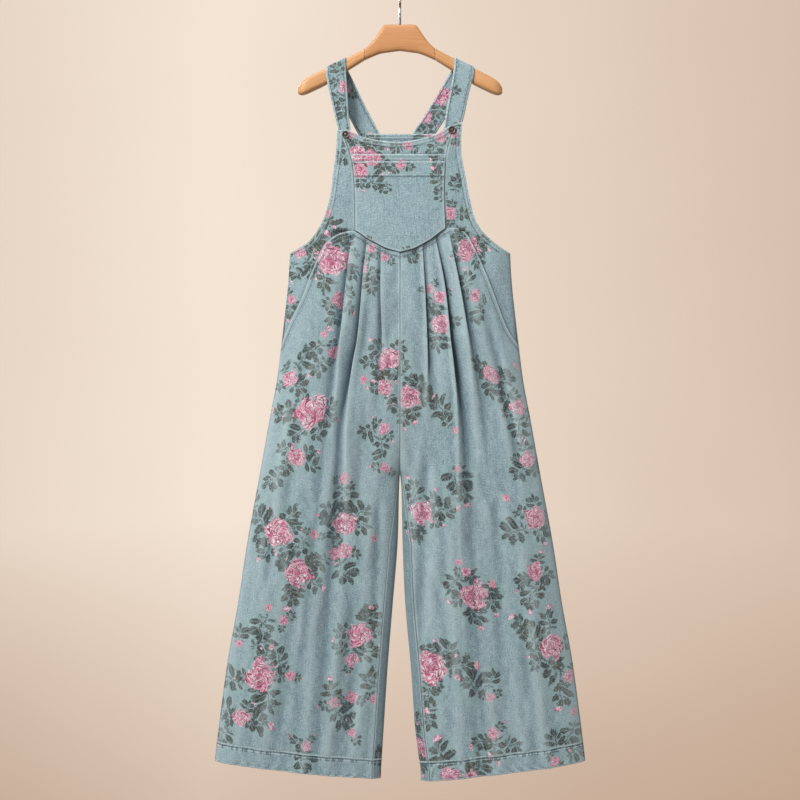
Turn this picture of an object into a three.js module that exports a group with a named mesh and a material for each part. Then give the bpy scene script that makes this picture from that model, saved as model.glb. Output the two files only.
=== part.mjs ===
import * as THREE from 'three';

// A floral denim dungaree jumpsuit with wide legs, hanging from a wooden hanger.
// Millimetres, Z up, the front faces -Y, the origin is the hang point inside the hook.
// Every "drop" is a distance below the hang point, every "out" a distance from the centre line.

// Cloth thicknesses and the clearances between pieces
const CLOTH_WALL = 1.5;
const POCKET_WALL = 1.2;
const STRAP_WALL = 2.0;
const HALF_SEAM_GAP = 0.15;
const LAYER_GAP = 0.3;
const BEHIND_POCKET_EDGE = 2.6;

// Heights of the main points, as drops
const UNDERARM_DROP = 505;
const BACK_TOP_DROP = 269;
const RISE_TOP_DROP = 800;
const CROTCH_DROP = 932;
const HEM_HEIGHT = 36;
const INSEAM_START = 1.2;
const INSEAM_FULL = 17;
const INSEAM_FULL_DROP = 1066;

// Buttons and hook wire
const BUTTON_RADIUS = 7;
const BUTTON_THICKNESS = 3.4;
const WIRE_RADIUS = 2.2;
const HOOK_INNER_RADIUS = 22;

// Half of the garment's thickness front to back, and its outline seen from the front
const BODY = [
  { drop: 250, halfDepth: 16.2, outer: 214 },
  { drop: 340, halfDepth: 18, outer: 214 },
  { drop: 420, halfDepth: 21, outer: 214 },
  { drop: 505, halfDepth: 25, outer: 214 },
  { drop: 562, halfDepth: 28, outer: 217 },
  { drop: 620, halfDepth: 29.5, outer: 223 },
  { drop: 684, halfDepth: 31, outer: 230.5 },
  { drop: 754, halfDepth: 31, outer: 239.5 },
  { drop: 820, halfDepth: 31, outer: 252 },
  { drop: 932, halfDepth: 30, outer: 272 },
  { drop: 1066, halfDepth: 29, outer: 296.5 },
  { drop: 1184, halfDepth: 27, outer: 314.5 },
  { drop: 1289, halfDepth: 26, outer: 333.5 },
  { drop: 1401, halfDepth: 25, outer: 349 },
  { drop: 1500, halfDepth: 24, outer: 361 },
];

// Inner edge of each leg, at the fold
const INNER_LEG = [
  { drop: 932, left: 0.3, right: 0.3 },
  { drop: 960, left: 1.6, right: 2.5 },
  { drop: 1066, left: 4.5, right: 4.8 },
  { drop: 1184, left: 14, right: 10 },
  { drop: 1308, left: 24, right: 21 },
  { drop: 1432, left: 32, right: 30 },
  { drop: 1525, left: 38, right: 43 },
];

// Hem line of each leg, from the inner fold to the outer fold
const HEM = {
  left: { innerDrop: 1521, outerDrop: 1487 },
  right: { innerDrop: 1526, outerDrop: 1487 },
};

// Seam below the bib and the pocket edge: the top of each front leg panel
const PANEL_TOP = [
  { out: 0, left: 505, right: 505 },
  { out: 27, left: 497, right: 497.5 },
  { out: 47, left: 487, right: 487 },
  { out: 59, left: 481, right: 480 },
  { out: 88, left: 463, right: 459 },
  { out: 110, left: 465.5, right: 457 },
  { out: 130, left: 474.5, right: 470 },
  { out: 149, left: 494, right: 506 },
  { out: 172, left: 545, right: 560 },
  { out: 188, left: 587, right: 602 },
  { out: 205, left: 621, right: 645 },
  { out: 214, left: 640, right: 661 },
  { out: 226, left: 669, right: 677 },
  { out: 230.5, left: 684, right: 684 },
];

// Neckline of the bib
const NECKLINE = [
  { x: -121, drop: 268 },
  { x: -98, drop: 269 },
  { x: -74, drop: 281 },
  { x: -29, drop: 290 },
  { x: 6, drop: 291 },
  { x: 47, drop: 284 },
  { x: 78, drop: 272 },
  { x: 95, drop: 260 },
  { x: 121, drop: 251 },
];

// Princess seam between the bib centre and the side fronts
const PRINCESS = [
  { drop: 250, left: 110, right: 102 },
  { drop: 282, left: 107, right: 97 },
  { drop: 304, left: 100, right: 91 },
  { drop: 338, left: 91.5, right: 86.5 },
  { drop: 400, left: 87.5, right: 85.5 },
  { drop: 463, left: 86.5, right: 87.5 },
];

// Inner edge of the side front below the princess seam, where it lies behind the pocket edge
const SIDE_BEHIND = [
  { drop: 463, left: 86.8, right: 87.8 },
  { drop: 471, left: 104, right: 106 },
  { drop: 480, left: 121, right: 122 },
  { drop: 494, left: 139, right: 134 },
  { drop: 545, left: 162, right: 155 },
  { drop: 587, left: 178, right: 173 },
  { drop: 638, left: 201, right: 191 },
  { drop: 667, left: 214, right: 206 },
  { drop: 684, left: 220, right: 219 },
];

// Armhole edge of the front and of the back
const ARMHOLE = [
  { drop: 250, left: 120.5, right: 120.5 },
  { drop: 310, left: 123.5, right: 118.5 },
  { drop: 359, left: 130, right: 127 },
  { drop: 400, left: 135.5, right: 134.5 },
  { drop: 440, left: 148, right: 145 },
  { drop: 466, left: 162, right: 161 },
  { drop: 484, left: 177, right: 181 },
  { drop: 494, left: 193, right: 195 },
  { drop: 505, left: 213.9, right: 213.9 },
];
const BACK_ARMHOLE = [
  { drop: 269, out: 68 },
  { drop: 300, out: 73 },
  { drop: 340, out: 83 },
  { drop: 380, out: 96 },
  { drop: 420, out: 114 },
  { drop: 450, out: 134 },
  { drop: 475, out: 161 },
  { drop: 490, out: 186 },
  { drop: 505, out: 213.9 },
];

// Pleats of the front leg panels: the fold edge, how deep the next strip lies behind it,
// over what width that strip comes forward again and how soft the edge is
const PLEATS = {
  left: [
    [
      { drop: 497, out: 37, depth: 1.6, run: 14, soft: 1 },
      { drop: 581, out: 38, depth: 5, run: 18, soft: 1.4 },
      { drop: 658, out: 36, depth: 6, run: 22, soft: 3 },
      { drop: 720, out: 36, depth: 2, run: 26, soft: 10 },
      { drop: 800, out: 38, depth: 0, run: 30, soft: 12 },
      { drop: 932, out: 45, depth: 0, run: 30, soft: 12 },
      { drop: 1066, out: 55, depth: 0, run: 30, soft: 12 },
      { drop: 1308, out: 80, depth: 0, run: 30, soft: 12 },
      { drop: 1521, out: 98, depth: 0, run: 30, soft: 12 },
    ],
    [
      { drop: 481, out: 64, depth: 1.8, run: 14, soft: 1 },
      { drop: 548, out: 72, depth: 8, run: 20, soft: 1.4 },
      { drop: 610, out: 77, depth: 13, run: 24, soft: 2 },
      { drop: 674, out: 84, depth: 16, run: 28, soft: 3 },
      { drop: 722, out: 94, depth: 16, run: 30, soft: 5 },
      { drop: 786, out: 103, depth: 14, run: 32, soft: 8 },
      { drop: 850, out: 109, depth: 11, run: 34, soft: 12 },
      { drop: 912, out: 111, depth: 8, run: 36, soft: 16 },
      { drop: 1010, out: 115, depth: 5, run: 40, soft: 20 },
      { drop: 1184, out: 126, depth: 3, run: 45, soft: 24 },
      { drop: 1521, out: 152, depth: 2, run: 50, soft: 26 },
    ],
    [
      { drop: 466, out: 91, depth: 0.3, run: 8, soft: 1 },
      { drop: 492, out: 96, depth: 2, run: 14, soft: 1.4 },
      { drop: 545, out: 103, depth: 6, run: 20, soft: 2 },
      { drop: 641, out: 114, depth: 7, run: 26, soft: 4 },
      { drop: 690, out: 120, depth: 7, run: 28, soft: 7 },
      { drop: 770, out: 128, depth: 6, run: 32, soft: 12 },
      { drop: 819, out: 134, depth: 5, run: 34, soft: 16 },
      { drop: 932, out: 143, depth: 3, run: 36, soft: 20 },
      { drop: 1066, out: 154, depth: 2, run: 40, soft: 24 },
      { drop: 1521, out: 205, depth: 0, run: 50, soft: 26 },
    ],
  ],
  right: [
    [
      { drop: 492, out: 44, depth: 1.6, run: 14, soft: 1 },
      { drop: 593, out: 50, depth: 5, run: 18, soft: 1.4 },
      { drop: 706, out: 55, depth: 6, run: 24, soft: 3 },
      { drop: 745, out: 56, depth: 4, run: 26, soft: 7 },
      { drop: 800, out: 57, depth: 1, run: 30, soft: 12 },
      { drop: 932, out: 57, depth: 0, run: 30, soft: 12 },
      { drop: 1066, out: 62, depth: 0, run: 30, soft: 12 },
      { drop: 1308, out: 82, depth: 0, run: 30, soft: 12 },
      { drop: 1521, out: 100, depth: 0, run: 30, soft: 12 },
    ],
    [
      { drop: 476, out: 69, depth: 1.8, run: 14, soft: 1 },
      { drop: 561, out: 86, depth: 9, run: 20, soft: 1.4 },
      { drop: 625, out: 94, depth: 13, run: 24, soft: 2 },
      { drop: 674, out: 99, depth: 16, run: 28, soft: 3 },
      { drop: 722, out: 106, depth: 16, run: 30, soft: 5 },
      { drop: 786, out: 113, depth: 13, run: 32, soft: 8 },
      { drop: 850, out: 118, depth: 10, run: 34, soft: 12 },
      { drop: 932, out: 121, depth: 7, run: 36, soft: 16 },
      { drop: 1066, out: 126, depth: 4, run: 40, soft: 22 },
      { drop: 1521, out: 152, depth: 2, run: 50, soft: 26 },
    ],
    [
      { drop: 462, out: 94, depth: 0.3, run: 8, soft: 1 },
      { drop: 485, out: 99, depth: 2, run: 14, soft: 1.4 },
      { drop: 513, out: 105, depth: 5, run: 18, soft: 1.6 },
      { drop: 567, out: 116, depth: 7, run: 22, soft: 2 },
      { drop: 625, out: 127, depth: 7, run: 26, soft: 4 },
      { drop: 690, out: 138, depth: 6, run: 28, soft: 8 },
      { drop: 800, out: 150, depth: 3, run: 34, soft: 14 },
      { drop: 932, out: 160, depth: 1.5, run: 36, soft: 20 },
      { drop: 1066, out: 168, depth: 0, run: 40, soft: 24 },
      { drop: 1521, out: 208, depth: 0, run: 50, soft: 26 },
    ],
  ],
};

// Soft folds: where they start and end, their width and how far they stand out
const FRONT_FOLDS = {
  left: [
    { fromDrop: 860, fromOut: 134, toDrop: 1500, toOut: 186, width: 14, rise: 4 },
    { fromDrop: 960, fromOut: 42, toDrop: 1260, toOut: 52, width: 10, rise: -4 },
    { fromDrop: 940, fromOut: 215, toDrop: 1530, toOut: 272, width: 18, rise: 3.5 },
    { fromDrop: 1090, fromOut: 96, toDrop: 1530, toOut: 112, width: 16, rise: -3 },
  ],
  right: [
    { fromDrop: 560, fromOut: 154, toDrop: 900, toOut: 228, width: 10, rise: -3.5 },
    { fromDrop: 860, fromOut: 54, toDrop: 1120, toOut: 30, width: 9, rise: -4 },
    { fromDrop: 880, fromOut: 90, toDrop: 1530, toOut: 122, width: 16, rise: 4 },
    { fromDrop: 940, fromOut: 168, toDrop: 1530, toOut: 212, width: 18, rise: -3 },
    { fromDrop: 980, fromOut: 232, toDrop: 1530, toOut: 292, width: 18, rise: 3 },
  ],
};
const BACK_FOLDS = {
  left: [
    { fromDrop: 530, fromOut: 62, toDrop: 1530, toOut: 120, width: 16, rise: 4 },
    { fromDrop: 560, fromOut: 120, toDrop: 1500, toOut: 205, width: 18, rise: -4 },
    { fromDrop: 760, fromOut: 180, toDrop: 1530, toOut: 285, width: 18, rise: 3.5 },
  ],
  right: [
    { fromDrop: 540, fromOut: 70, toDrop: 1530, toOut: 136, width: 16, rise: -4 },
    { fromDrop: 540, fromOut: 110, toDrop: 1500, toOut: 190, width: 17, rise: 4 },
    { fromDrop: 720, fromOut: 172, toDrop: 1530, toOut: 272, width: 18, rise: -3.5 },
  ],
};

// Hanger outline: top and bottom edge as drops, and half of its thickness
const HANGER = [
  { out: 0, top: 61, bottom: 111, half: 7.5 },
  { out: 30, top: 61.5, bottom: 115, half: 7.5 },
  { out: 36, top: 68, bottom: 116, half: 7.5 },
  { out: 44, top: 80, bottom: 118.5, half: 7.6 },
  { out: 55, top: 95, bottom: 123, half: 7.7 },
  { out: 68, top: 107, bottom: 129, half: 7.9 },
  { out: 86, top: 117, bottom: 140, half: 8.2 },
  { out: 105, top: 127, bottom: 152, half: 8.6 },
  { out: 124, top: 136.5, bottom: 164.5, half: 9.2 },
  { out: 144, top: 146.5, bottom: 177, half: 9.8 },
  { out: 165, top: 156.5, bottom: 187.5, half: 10.4 },
  { out: 182, top: 166, bottom: 195, half: 10.6 },
  { out: 191, top: 173, bottom: 197, half: 8.6 },
  { out: 197, top: 181, bottom: 195, half: 4.6 },
];
const ARM_JOINT_OUT = 68;

// Strap fronts below the hanger: both edges of the band
const STRAP_FRONT = {
  left: [
    { innerOut: 94, innerDrop: 300, outerOut: 116, outerDrop: 300 },
    { innerOut: 95.5, innerDrop: 266, outerOut: 119, outerDrop: 269 },
    { innerOut: 99, innerDrop: 237, outerOut: 126, outerDrop: 240 },
    { innerOut: 101, innerDrop: 206, outerOut: 133, outerDrop: 208 },
    { innerOut: 103, innerDrop: 174, outerOut: 138.5, outerDrop: 186 },
  ],
  right: [
    { innerOut: 80, innerDrop: 300, outerOut: 114, outerDrop: 300 },
    { innerOut: 84, innerDrop: 266, outerOut: 118.5, outerDrop: 262 },
    { innerOut: 89, innerDrop: 232, outerOut: 125, outerDrop: 236 },
    { innerOut: 96, innerDrop: 196, outerOut: 131, outerDrop: 206 },
    { innerOut: 101, innerDrop: 168, outerOut: 137, outerDrop: 182 },
  ],
};
const STRAP_OVER = { innerOut: 105, outerOut: 143 };
const STRAP_BACK_END = { left: { out: 48, drop: 292 }, right: { out: 31, drop: 292 } };
const STRAP_WIDTH = 38;

const LEFT = -1;
const RIGHT = 1;

function sideName(side) {
  return side === LEFT ? 'left' : 'right';
}

// Value of a column of a table at a place between its rows, without corners at the rows
function valueAt(rows, key, at, column) {
  const last = rows.length - 1;
  if (at <= rows[0][key]) return rows[0][column];
  if (at >= rows[last][key]) return rows[last][column];
  let i = 0;
  while (rows[i + 1][key] < at) i += 1;
  const slope = (k) => {
    const before = rows[Math.max(k - 1, 0)];
    const after = rows[Math.min(k + 1, last)];
    return (after[column] - before[column]) / (after[key] - before[key]);
  };
  const span = rows[i + 1][key] - rows[i][key];
  const t = (at - rows[i][key]) / span;
  const startShare = (1 + 2 * t) * (1 - t) ** 2;
  const endShare = t * t * (3 - 2 * t);
  const bend = span * (t * (1 - t) ** 2 * slope(i) - t * t * (1 - t) * slope(i + 1));
  return rows[i][column] * startShare + rows[i + 1][column] * endShare + bend;
}

function straightValueAt(rows, key, at, column) {
  const last = rows.length - 1;
  if (at <= rows[0][key]) return rows[0][column];
  if (at >= rows[last][key]) return rows[last][column];
  let i = 0;
  while (rows[i + 1][key] < at) i += 1;
  const t = (at - rows[i][key]) / (rows[i + 1][key] - rows[i][key]);
  return rows[i][column] * (1 - t) + rows[i + 1][column] * t;
}

function clamp01(value) {
  return Math.min(1, Math.max(0, value));
}

function smooth(value) {
  const t = clamp01(value);
  return t * t * (3 - 2 * t);
}

function outerEdge(drop) {
  return valueAt(BODY, 'drop', drop, 'outer');
}

function innerEdge(side, drop) {
  if (drop <= CROTCH_DROP) return 0;
  return valueAt(INNER_LEG, 'drop', drop, sideName(side));
}

// Depth of a flattened loop of cloth between its two folds
function loopDepth(half, from, to, out) {
  const reach = (to - from) / 2;
  const t = Math.min(1, Math.abs(out - (from + to) / 2) / reach);
  return half * Math.sqrt(1 - t ** 3);
}

// Distance of the cloth from the garment's middle plane
function clothDepth(side, out, drop) {
  const half = valueAt(BODY, 'drop', drop, 'halfDepth');
  const outer = outerEdge(drop);
  const body = loopDepth(half, -outer, outer, out);
  if (drop <= RISE_TOP_DROP) return body;
  const leg = loopDepth(half, innerEdge(side, drop), outer, out);
  if (drop >= CROTCH_DROP) return leg;
  const closed = (drop - RISE_TOP_DROP) / (CROTCH_DROP - RISE_TOP_DROP);
  const awayFromSeam = smooth(out / 70);
  const open = Math.sqrt(1 - closed * closed) * (1 - awayFromSeam) + (1 - smooth(closed)) * awayFromSeam;
  return leg + (body - leg) * open;
}

// Relief is less towards the folds at both edges of the leg
function reliefShare(side, out, drop) {
  const fromOuter = smooth((outerEdge(drop) - out) / 45);
  const fromInner = smooth((out - innerEdge(side, drop)) / 25);
  return fromOuter * (1 + (fromInner - 1) * smooth((drop - RISE_TOP_DROP) / 120));
}

function foldRelief(folds, out, drop) {
  let relief = 0;
  for (const fold of folds) {
    const t = (drop - fold.fromDrop) / (fold.toDrop - fold.fromDrop);
    const middle = fold.fromOut + (fold.toOut - fold.fromOut) * t;
    const strength = smooth(t / 0.25) * smooth((1.15 - t) / 0.3);
    relief -= fold.rise * strength * Math.exp(-(((out - middle) / fold.width) ** 2));
  }
  return relief;
}

function pleatRelief(side, out, drop) {
  let relief = 0;
  for (const pleat of PLEATS[sideName(side)]) {
    const edge = valueAt(pleat, 'drop', drop, 'out');
    const depth = Math.max(0, valueAt(pleat, 'drop', drop, 'depth'));
    const run = valueAt(pleat, 'drop', drop, 'run');
    const soft = valueAt(pleat, 'drop', drop, 'soft');
    const past = out - edge + soft / 2;
    if (past > 0 && past < soft) relief += (depth * past) / soft;
    if (past >= soft) relief += depth * Math.max(0, 1 - (past - soft) / run) ** 1.5;
  }
  return relief;
}

function cornerPoint(side, out, y, drop) {
  return new THREE.Vector3(side * out, y, -drop);
}

// Point on the base form, set back along its own slope by the inset
function insetPoint(side, face, out, drop, inset) {
  const outer = outerEdge(drop);
  const ahead = Math.min(outer, out + 0.4);
  const behind = ahead - 0.8;
  const slope = (clothDepth(side, ahead, drop) - clothDepth(side, behind, drop)) / 0.8;
  const length = Math.hypot(slope, 1);
  const depth = Math.max(clothDepth(side, out, drop) - inset / length, HALF_SEAM_GAP);
  return cornerPoint(side, out + (inset * slope) / length, face * depth, drop);
}

// Unit direction of a grid line through a point, with both neighbours counted alike
function gridDirection(before, point, after) {
  const direction = new THREE.Vector3();
  if (before) direction.add(point.clone().sub(before).normalize());
  if (after) direction.add(after.clone().sub(point).normalize());
  return direction.normalize();
}

// Closed shell: a grid of points on its outer side, and the same grid set in by the wall.
// A pin keeps the set-in free of one axis along a border, so that seam faces stay flat.
function shellGeometry(grid, wall, flip, pins) {
  const rowCount = grid.length;
  const columnCount = grid[0].length;
  const positions = [];
  const insets = [];
  for (let i = 0; i < rowCount; i += 1) {
    for (let j = 0; j < columnCount; j += 1) {
      const point = grid[i][j];
      const down = gridDirection(grid[i - 1]?.[j], point, grid[i + 1]?.[j]);
      const across = gridDirection(grid[i][j - 1], point, grid[i][j + 1]);
      const normal = down.cross(across);
      if (flip) normal.negate();
      if (i === 0 && pins.firstRow) normal[pins.firstRow] = 0;
      if (i === rowCount - 1 && pins.lastRow) normal[pins.lastRow] = 0;
      if (j === 0 && pins.firstColumn) normal[pins.firstColumn] = 0;
      if (j === columnCount - 1 && pins.lastColumn) normal[pins.lastColumn] = 0;
      normal.normalize();
      positions.push(point.x, point.y, point.z);
      insets.push(point.x - wall * normal.x, point.y - wall * normal.y, point.z - wall * normal.z);
    }
  }
  const layer = rowCount * columnCount;
  const indices = [];
  const quad = (a, b, c, d) => {
    if (flip) indices.push(a, c, b, a, d, c);
    else indices.push(a, b, c, a, c, d);
  };
  const at = (i, j) => i * columnCount + j;
  for (let i = 0; i < rowCount - 1; i += 1) {
    for (let j = 0; j < columnCount - 1; j += 1) {
      quad(at(i, j), at(i + 1, j), at(i + 1, j + 1), at(i, j + 1));
      quad(layer + at(i, j), layer + at(i, j + 1), layer + at(i + 1, j + 1), layer + at(i + 1, j));
    }
  }
  for (let j = 0; j < columnCount - 1; j += 1) {
    const end = rowCount - 1;
    quad(at(0, j), at(0, j + 1), layer + at(0, j + 1), layer + at(0, j));
    quad(at(end, j + 1), at(end, j), layer + at(end, j), layer + at(end, j + 1));
  }
  for (let i = 0; i < rowCount - 1; i += 1) {
    const end = columnCount - 1;
    quad(at(i + 1, 0), at(i, 0), layer + at(i, 0), layer + at(i + 1, 0));
    quad(at(i, end), at(i + 1, end), layer + at(i + 1, end), layer + at(i, end));
  }
  const geometry = new THREE.BufferGeometry();
  geometry.setAttribute('position', new THREE.Float32BufferAttribute([...positions, ...insets], 3));
  geometry.setIndex(indices);
  geometry.computeVertexNormals();
  return geometry;
}

function denimMaterial() {
  return new THREE.MeshStandardMaterial({ color: '#86a5ab', roughness: 0.9, metalness: 0 });
}

function woodMaterial() {
  return new THREE.MeshStandardMaterial({ color: '#d69860', roughness: 0.45, metalness: 0 });
}

function hookMaterial() {
  return new THREE.MeshStandardMaterial({ color: '#c8cbcf', roughness: 0.2, metalness: 1 });
}

function buttonMaterial() {
  return new THREE.MeshStandardMaterial({ color: '#4c4a40', roughness: 0.45, metalness: 0.9 });
}

function namedMesh(name, geometry, material) {
  const mesh = new THREE.Mesh(geometry, material);
  mesh.name = name;
  return mesh;
}

// Levels below the hip, the same in the front and the back leg panels
const LOWER_LEVELS = [740, 800, 860, 905, 925, 932, 940, 965, 1010, 1066, 1184, 1308, 1420];
const UPPER_SHARES = [0, 0.1, 0.25, 0.42, 0.6, 0.8];

function inseamWidth(drop) {
  const t = clamp01((drop - CROTCH_DROP) / (INSEAM_FULL_DROP - CROTCH_DROP));
  return INSEAM_START + (INSEAM_FULL - INSEAM_START) * t;
}

function hemDrop(side, out) {
  const hem = HEM[sideName(side)];
  const inner = innerEdge(side, hem.innerDrop);
  const share = clamp01((out - inner) / (outerEdge(1500) - inner));
  return hem.innerDrop + (hem.outerDrop - hem.innerDrop) * share;
}

// Sideways place of each column line of a front leg panel: the inner edge, the two sides
// of each pleat edge, lines between them and the outer fold
function frontColumns(side, drop) {
  const inner = drop < CROTCH_DROP ? 0 : innerEdge(side, drop) + inseamWidth(drop);
  const columns = [inner + HALF_SEAM_GAP];
  const outer = outerEdge(drop);
  for (const pleat of PLEATS[sideName(side)]) {
    const edge = valueAt(pleat, 'drop', drop, 'out');
    const soft = valueAt(pleat, 'drop', drop, 'soft');
    const before = columns[columns.length - 1];
    const next = edge - soft / 2;
    columns.push(before + (next - before) * 0.5, next, edge + soft / 2);
  }
  const start = columns[columns.length - 1];
  for (const share of [0.14, 0.3, 0.48, 0.66, 0.81, 0.92, 0.98, 1]) {
    columns.push(start + (outer - start) * share);
  }
  return columns;
}

// Drop at which a column line leaves the top edge of the panel
function columnTop(side, column) {
  let low = 440;
  let high = 720;
  for (let step = 0; step < 30; step += 1) {
    const middle = (low + high) / 2;
    const out = frontColumns(side, middle)[column];
    if (middle < straightValueAt(PANEL_TOP, 'out', out, sideName(side))) low = middle;
    else high = middle;
  }
  return low + 2 * HALF_SEAM_GAP;
}

function legFrontPoint(side, out, drop) {
  const relief = pleatRelief(side, out, drop) + foldRelief(FRONT_FOLDS[sideName(side)], out, drop);
  const depth = clothDepth(side, out, drop) - relief * reliefShare(side, out, drop);
  return cornerPoint(side, out, -Math.max(depth, HALF_SEAM_GAP), drop);
}

function makeLegFront(side) {
  const columnCount = frontColumns(side, 700).length;
  const tops = [];
  for (let j = 0; j < columnCount; j += 1) tops.push(columnTop(side, j));
  const grid = [];
  for (const share of UPPER_SHARES) {
    const row = [];
    for (let j = 0; j < columnCount; j += 1) {
      const drop = tops[j] + (LOWER_LEVELS[0] - tops[j]) * share;
      row.push(legFrontPoint(side, frontColumns(side, drop)[j], drop));
    }
    grid.push(row);
  }
  for (const level of LOWER_LEVELS) {
    grid.push(frontColumns(side, level).map((out) => legFrontPoint(side, out, level)));
  }
  for (const above of [HEM_HEIGHT, 0]) {
    const row = frontColumns(side, 1505 - above).map((out) => {
      const drop = hemDrop(side, out) - above;
      return legFrontPoint(side, Math.min(out, outerEdge(drop)), drop);
    });
    grid.push(row);
  }
  const pins = { firstRow: 'z', lastRow: 'z', firstColumn: 'x', lastColumn: 'y' };
  const geometry = shellGeometry(grid, CLOTH_WALL, side === LEFT, pins);
  return namedMesh(`leg_front_${sideName(side)}`, geometry, denimMaterial());
}

// The back leg panel goes from the side fold across the back to the inner fold,
// and from there a little way round onto the front, where the inseam is
const BACK_SHARES = [1, 0.985, 0.94, 0.86, 0.74, 0.61, 0.48, 0.35, 0.23, 0.13, 0.055, 0.014, 0];
const WRAP_SHARES = [0.16, 0.5, 1];

function legBackRow(side, drop, outline) {
  const row = [];
  const inner = innerEdge(side, outline);
  const outer = outerEdge(outline);
  const folds = BACK_FOLDS[sideName(side)];
  const above = outline < CROTCH_DROP;
  const start = above ? 3 : inner;
  for (const share of BACK_SHARES) {
    const out = start + (outer - start) * share;
    const relief = foldRelief(folds, out, outline) * reliefShare(side, out, outline);
    let depth = clothDepth(side, out, outline) - relief;
    if (share === 1) depth = HALF_SEAM_GAP;
    row.push(cornerPoint(side, out, depth, drop(out)));
  }
  for (const share of WRAP_SHARES) {
    if (above) {
      const out = HALF_SEAM_GAP + (start - HALF_SEAM_GAP) * (1 - share);
      row.push(cornerPoint(side, out, clothDepth(side, out, outline), drop(out)));
    } else {
      const out = inner + (inseamWidth(outline) - HALF_SEAM_GAP) * share;
      row.push(cornerPoint(side, out, -clothDepth(side, out, outline), drop(out)));
    }
  }
  return row;
}

function makeLegBack(side) {
  const grid = [];
  for (const level of [UNDERARM_DROP + 2 * HALF_SEAM_GAP, 545, 590, 638, 690, ...LOWER_LEVELS]) {
    grid.push(legBackRow(side, () => level, level));
  }
  for (const above of [HEM_HEIGHT, 0]) {
    grid.push(legBackRow(side, (out) => hemDrop(side, out) - above, 1505 - above));
  }
  const pins = { firstRow: 'z', lastRow: 'z', firstColumn: 'y', lastColumn: 'x' };
  const geometry = shellGeometry(grid, CLOTH_WALL, side === LEFT, pins);
  return namedMesh(`leg_back_${sideName(side)}`, geometry, denimMaterial());
}

// Side front: from the princess seam and the pocket edge to the armhole and the side fold
const SIDE_LEVELS = [
  0, 284, 306, 338, 372, 404, 432, 452, 463, 471, 480, 494, 505, 525, 560, 600, 640, 665, 683.7,
];

function sideInset(side, out, drop) {
  const name = sideName(side);
  const edgeOut = drop < 463 ? valueAt(PRINCESS, 'drop', drop, name)
    : straightValueAt(SIDE_BEHIND, 'drop', drop, name) + 14;
  const near = 1 - smooth((out - edgeOut - 6) / 26);
  const strength = 0.6 + (BEHIND_POCKET_EDGE - 0.6) * smooth((drop - 420) / 40);
  return strength * near;
}

function makeSideFront(side) {
  const name = sideName(side);
  const grid = SIDE_LEVELS.map((fixedLevel, index) => {
    const level = index === 0 ? neckDrop(side) : fixedLevel;
    const upper = level < 463;
    const inner = upper ? valueAt(PRINCESS, 'drop', level, name) + HALF_SEAM_GAP
      : straightValueAt(SIDE_BEHIND, 'drop', level, name);
    const outer = level < UNDERARM_DROP ? straightValueAt(ARMHOLE, 'drop', level, name)
      : outerEdge(level);
    return [0, 0.14, 0.3, 0.47, 0.64, 0.79, 0.91, 0.98, 1].map((share) => {
      const out = inner + (outer - inner) * share;
      const neckRise = neckAt(side, out) - neckAt(side, inner);
      const drop = level + neckRise * (1 - smooth((level - 268) / 60));
      return insetPoint(side, -1, out, drop, sideInset(side, out, drop));
    });
  });
  const pins = { firstRow: 'z', lastRow: 'z', firstColumn: 'x', lastColumn: 'y' };
  const geometry = shellGeometry(grid, CLOTH_WALL, side === LEFT, pins);
  return namedMesh(`side_front_${name}`, geometry, denimMaterial());
}

// Sideways shares of the bib columns, on each side of the centre line
const BIB_SHARES = [-1, -0.82, -0.62, -0.42, -0.2, 0, 0.2, 0.42, 0.62, 0.82, 1];

function bibPoint(share, drop, raise) {
  const side = share < 0 ? LEFT : RIGHT;
  const reach = valueAt(PRINCESS, 'drop', drop, sideName(side)) - HALF_SEAM_GAP;
  const out = Math.abs(share) * reach;
  return cornerPoint(side, out, -clothDepth(side, out, drop) - raise, drop);
}

function bibBottom(share) {
  const side = share < 0 ? LEFT : RIGHT;
  const out = Math.abs(share) * valueAt(PRINCESS, 'drop', 463, sideName(side));
  return straightValueAt(PANEL_TOP, 'out', out, sideName(side)) - 2 * HALF_SEAM_GAP;
}

// Rows of the bib: they meet the seams at the given levels and sag towards the centre
function bibGrid(topDrop, levels, raiseAt) {
  return levels.map((level, index) => BIB_SHARES.map((share) => {
    const end = share < 0 ? -1 : 1;
    const seamShare = (level - topDrop(end)) / (bibBottom(end) - topDrop(end));
    const centreDrop = topDrop(0) + (bibBottom(0) - topDrop(0)) * seamShare;
    let drop = centreDrop + (level - centreDrop) * Math.abs(share);
    if (index === 0) drop = topDrop(share);
    if (index === levels.length - 1) drop = bibBottom(share);
    return bibPoint(share, drop, raiseAt(level));
  }));
}

const BIB_PINS = { firstRow: 'z', lastRow: 'z', firstColumn: 'x', lastColumn: 'x' };

function neckAt(side, out) {
  return straightValueAt(NECKLINE, 'x', side * out, 'drop');
}

function neckDrop(share) {
  const side = share < 0 ? LEFT : RIGHT;
  const out = Math.abs(share) * valueAt(PRINCESS, 'drop', 268, sideName(side));
  return neckAt(side, out);
}

function makeBibCentre() {
  const grid = bibGrid(neckDrop, [0, 284, 306, 338, 372, 404, 432, 452, 463], () => 0);
  return namedMesh('bib_centre', shellGeometry(grid, CLOTH_WALL, false, BIB_PINS), denimMaterial());
}

function makeBibPocketInner() {
  const raise = POCKET_WALL + LAYER_GAP;
  const grid = bibGrid(() => 315, [315, 324, 338, 372, 404, 432, 463], () => raise);
  const geometry = shellGeometry(grid, POCKET_WALL, false, BIB_PINS);
  return namedMesh('bib_pocket_inner', geometry, denimMaterial());
}

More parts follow.
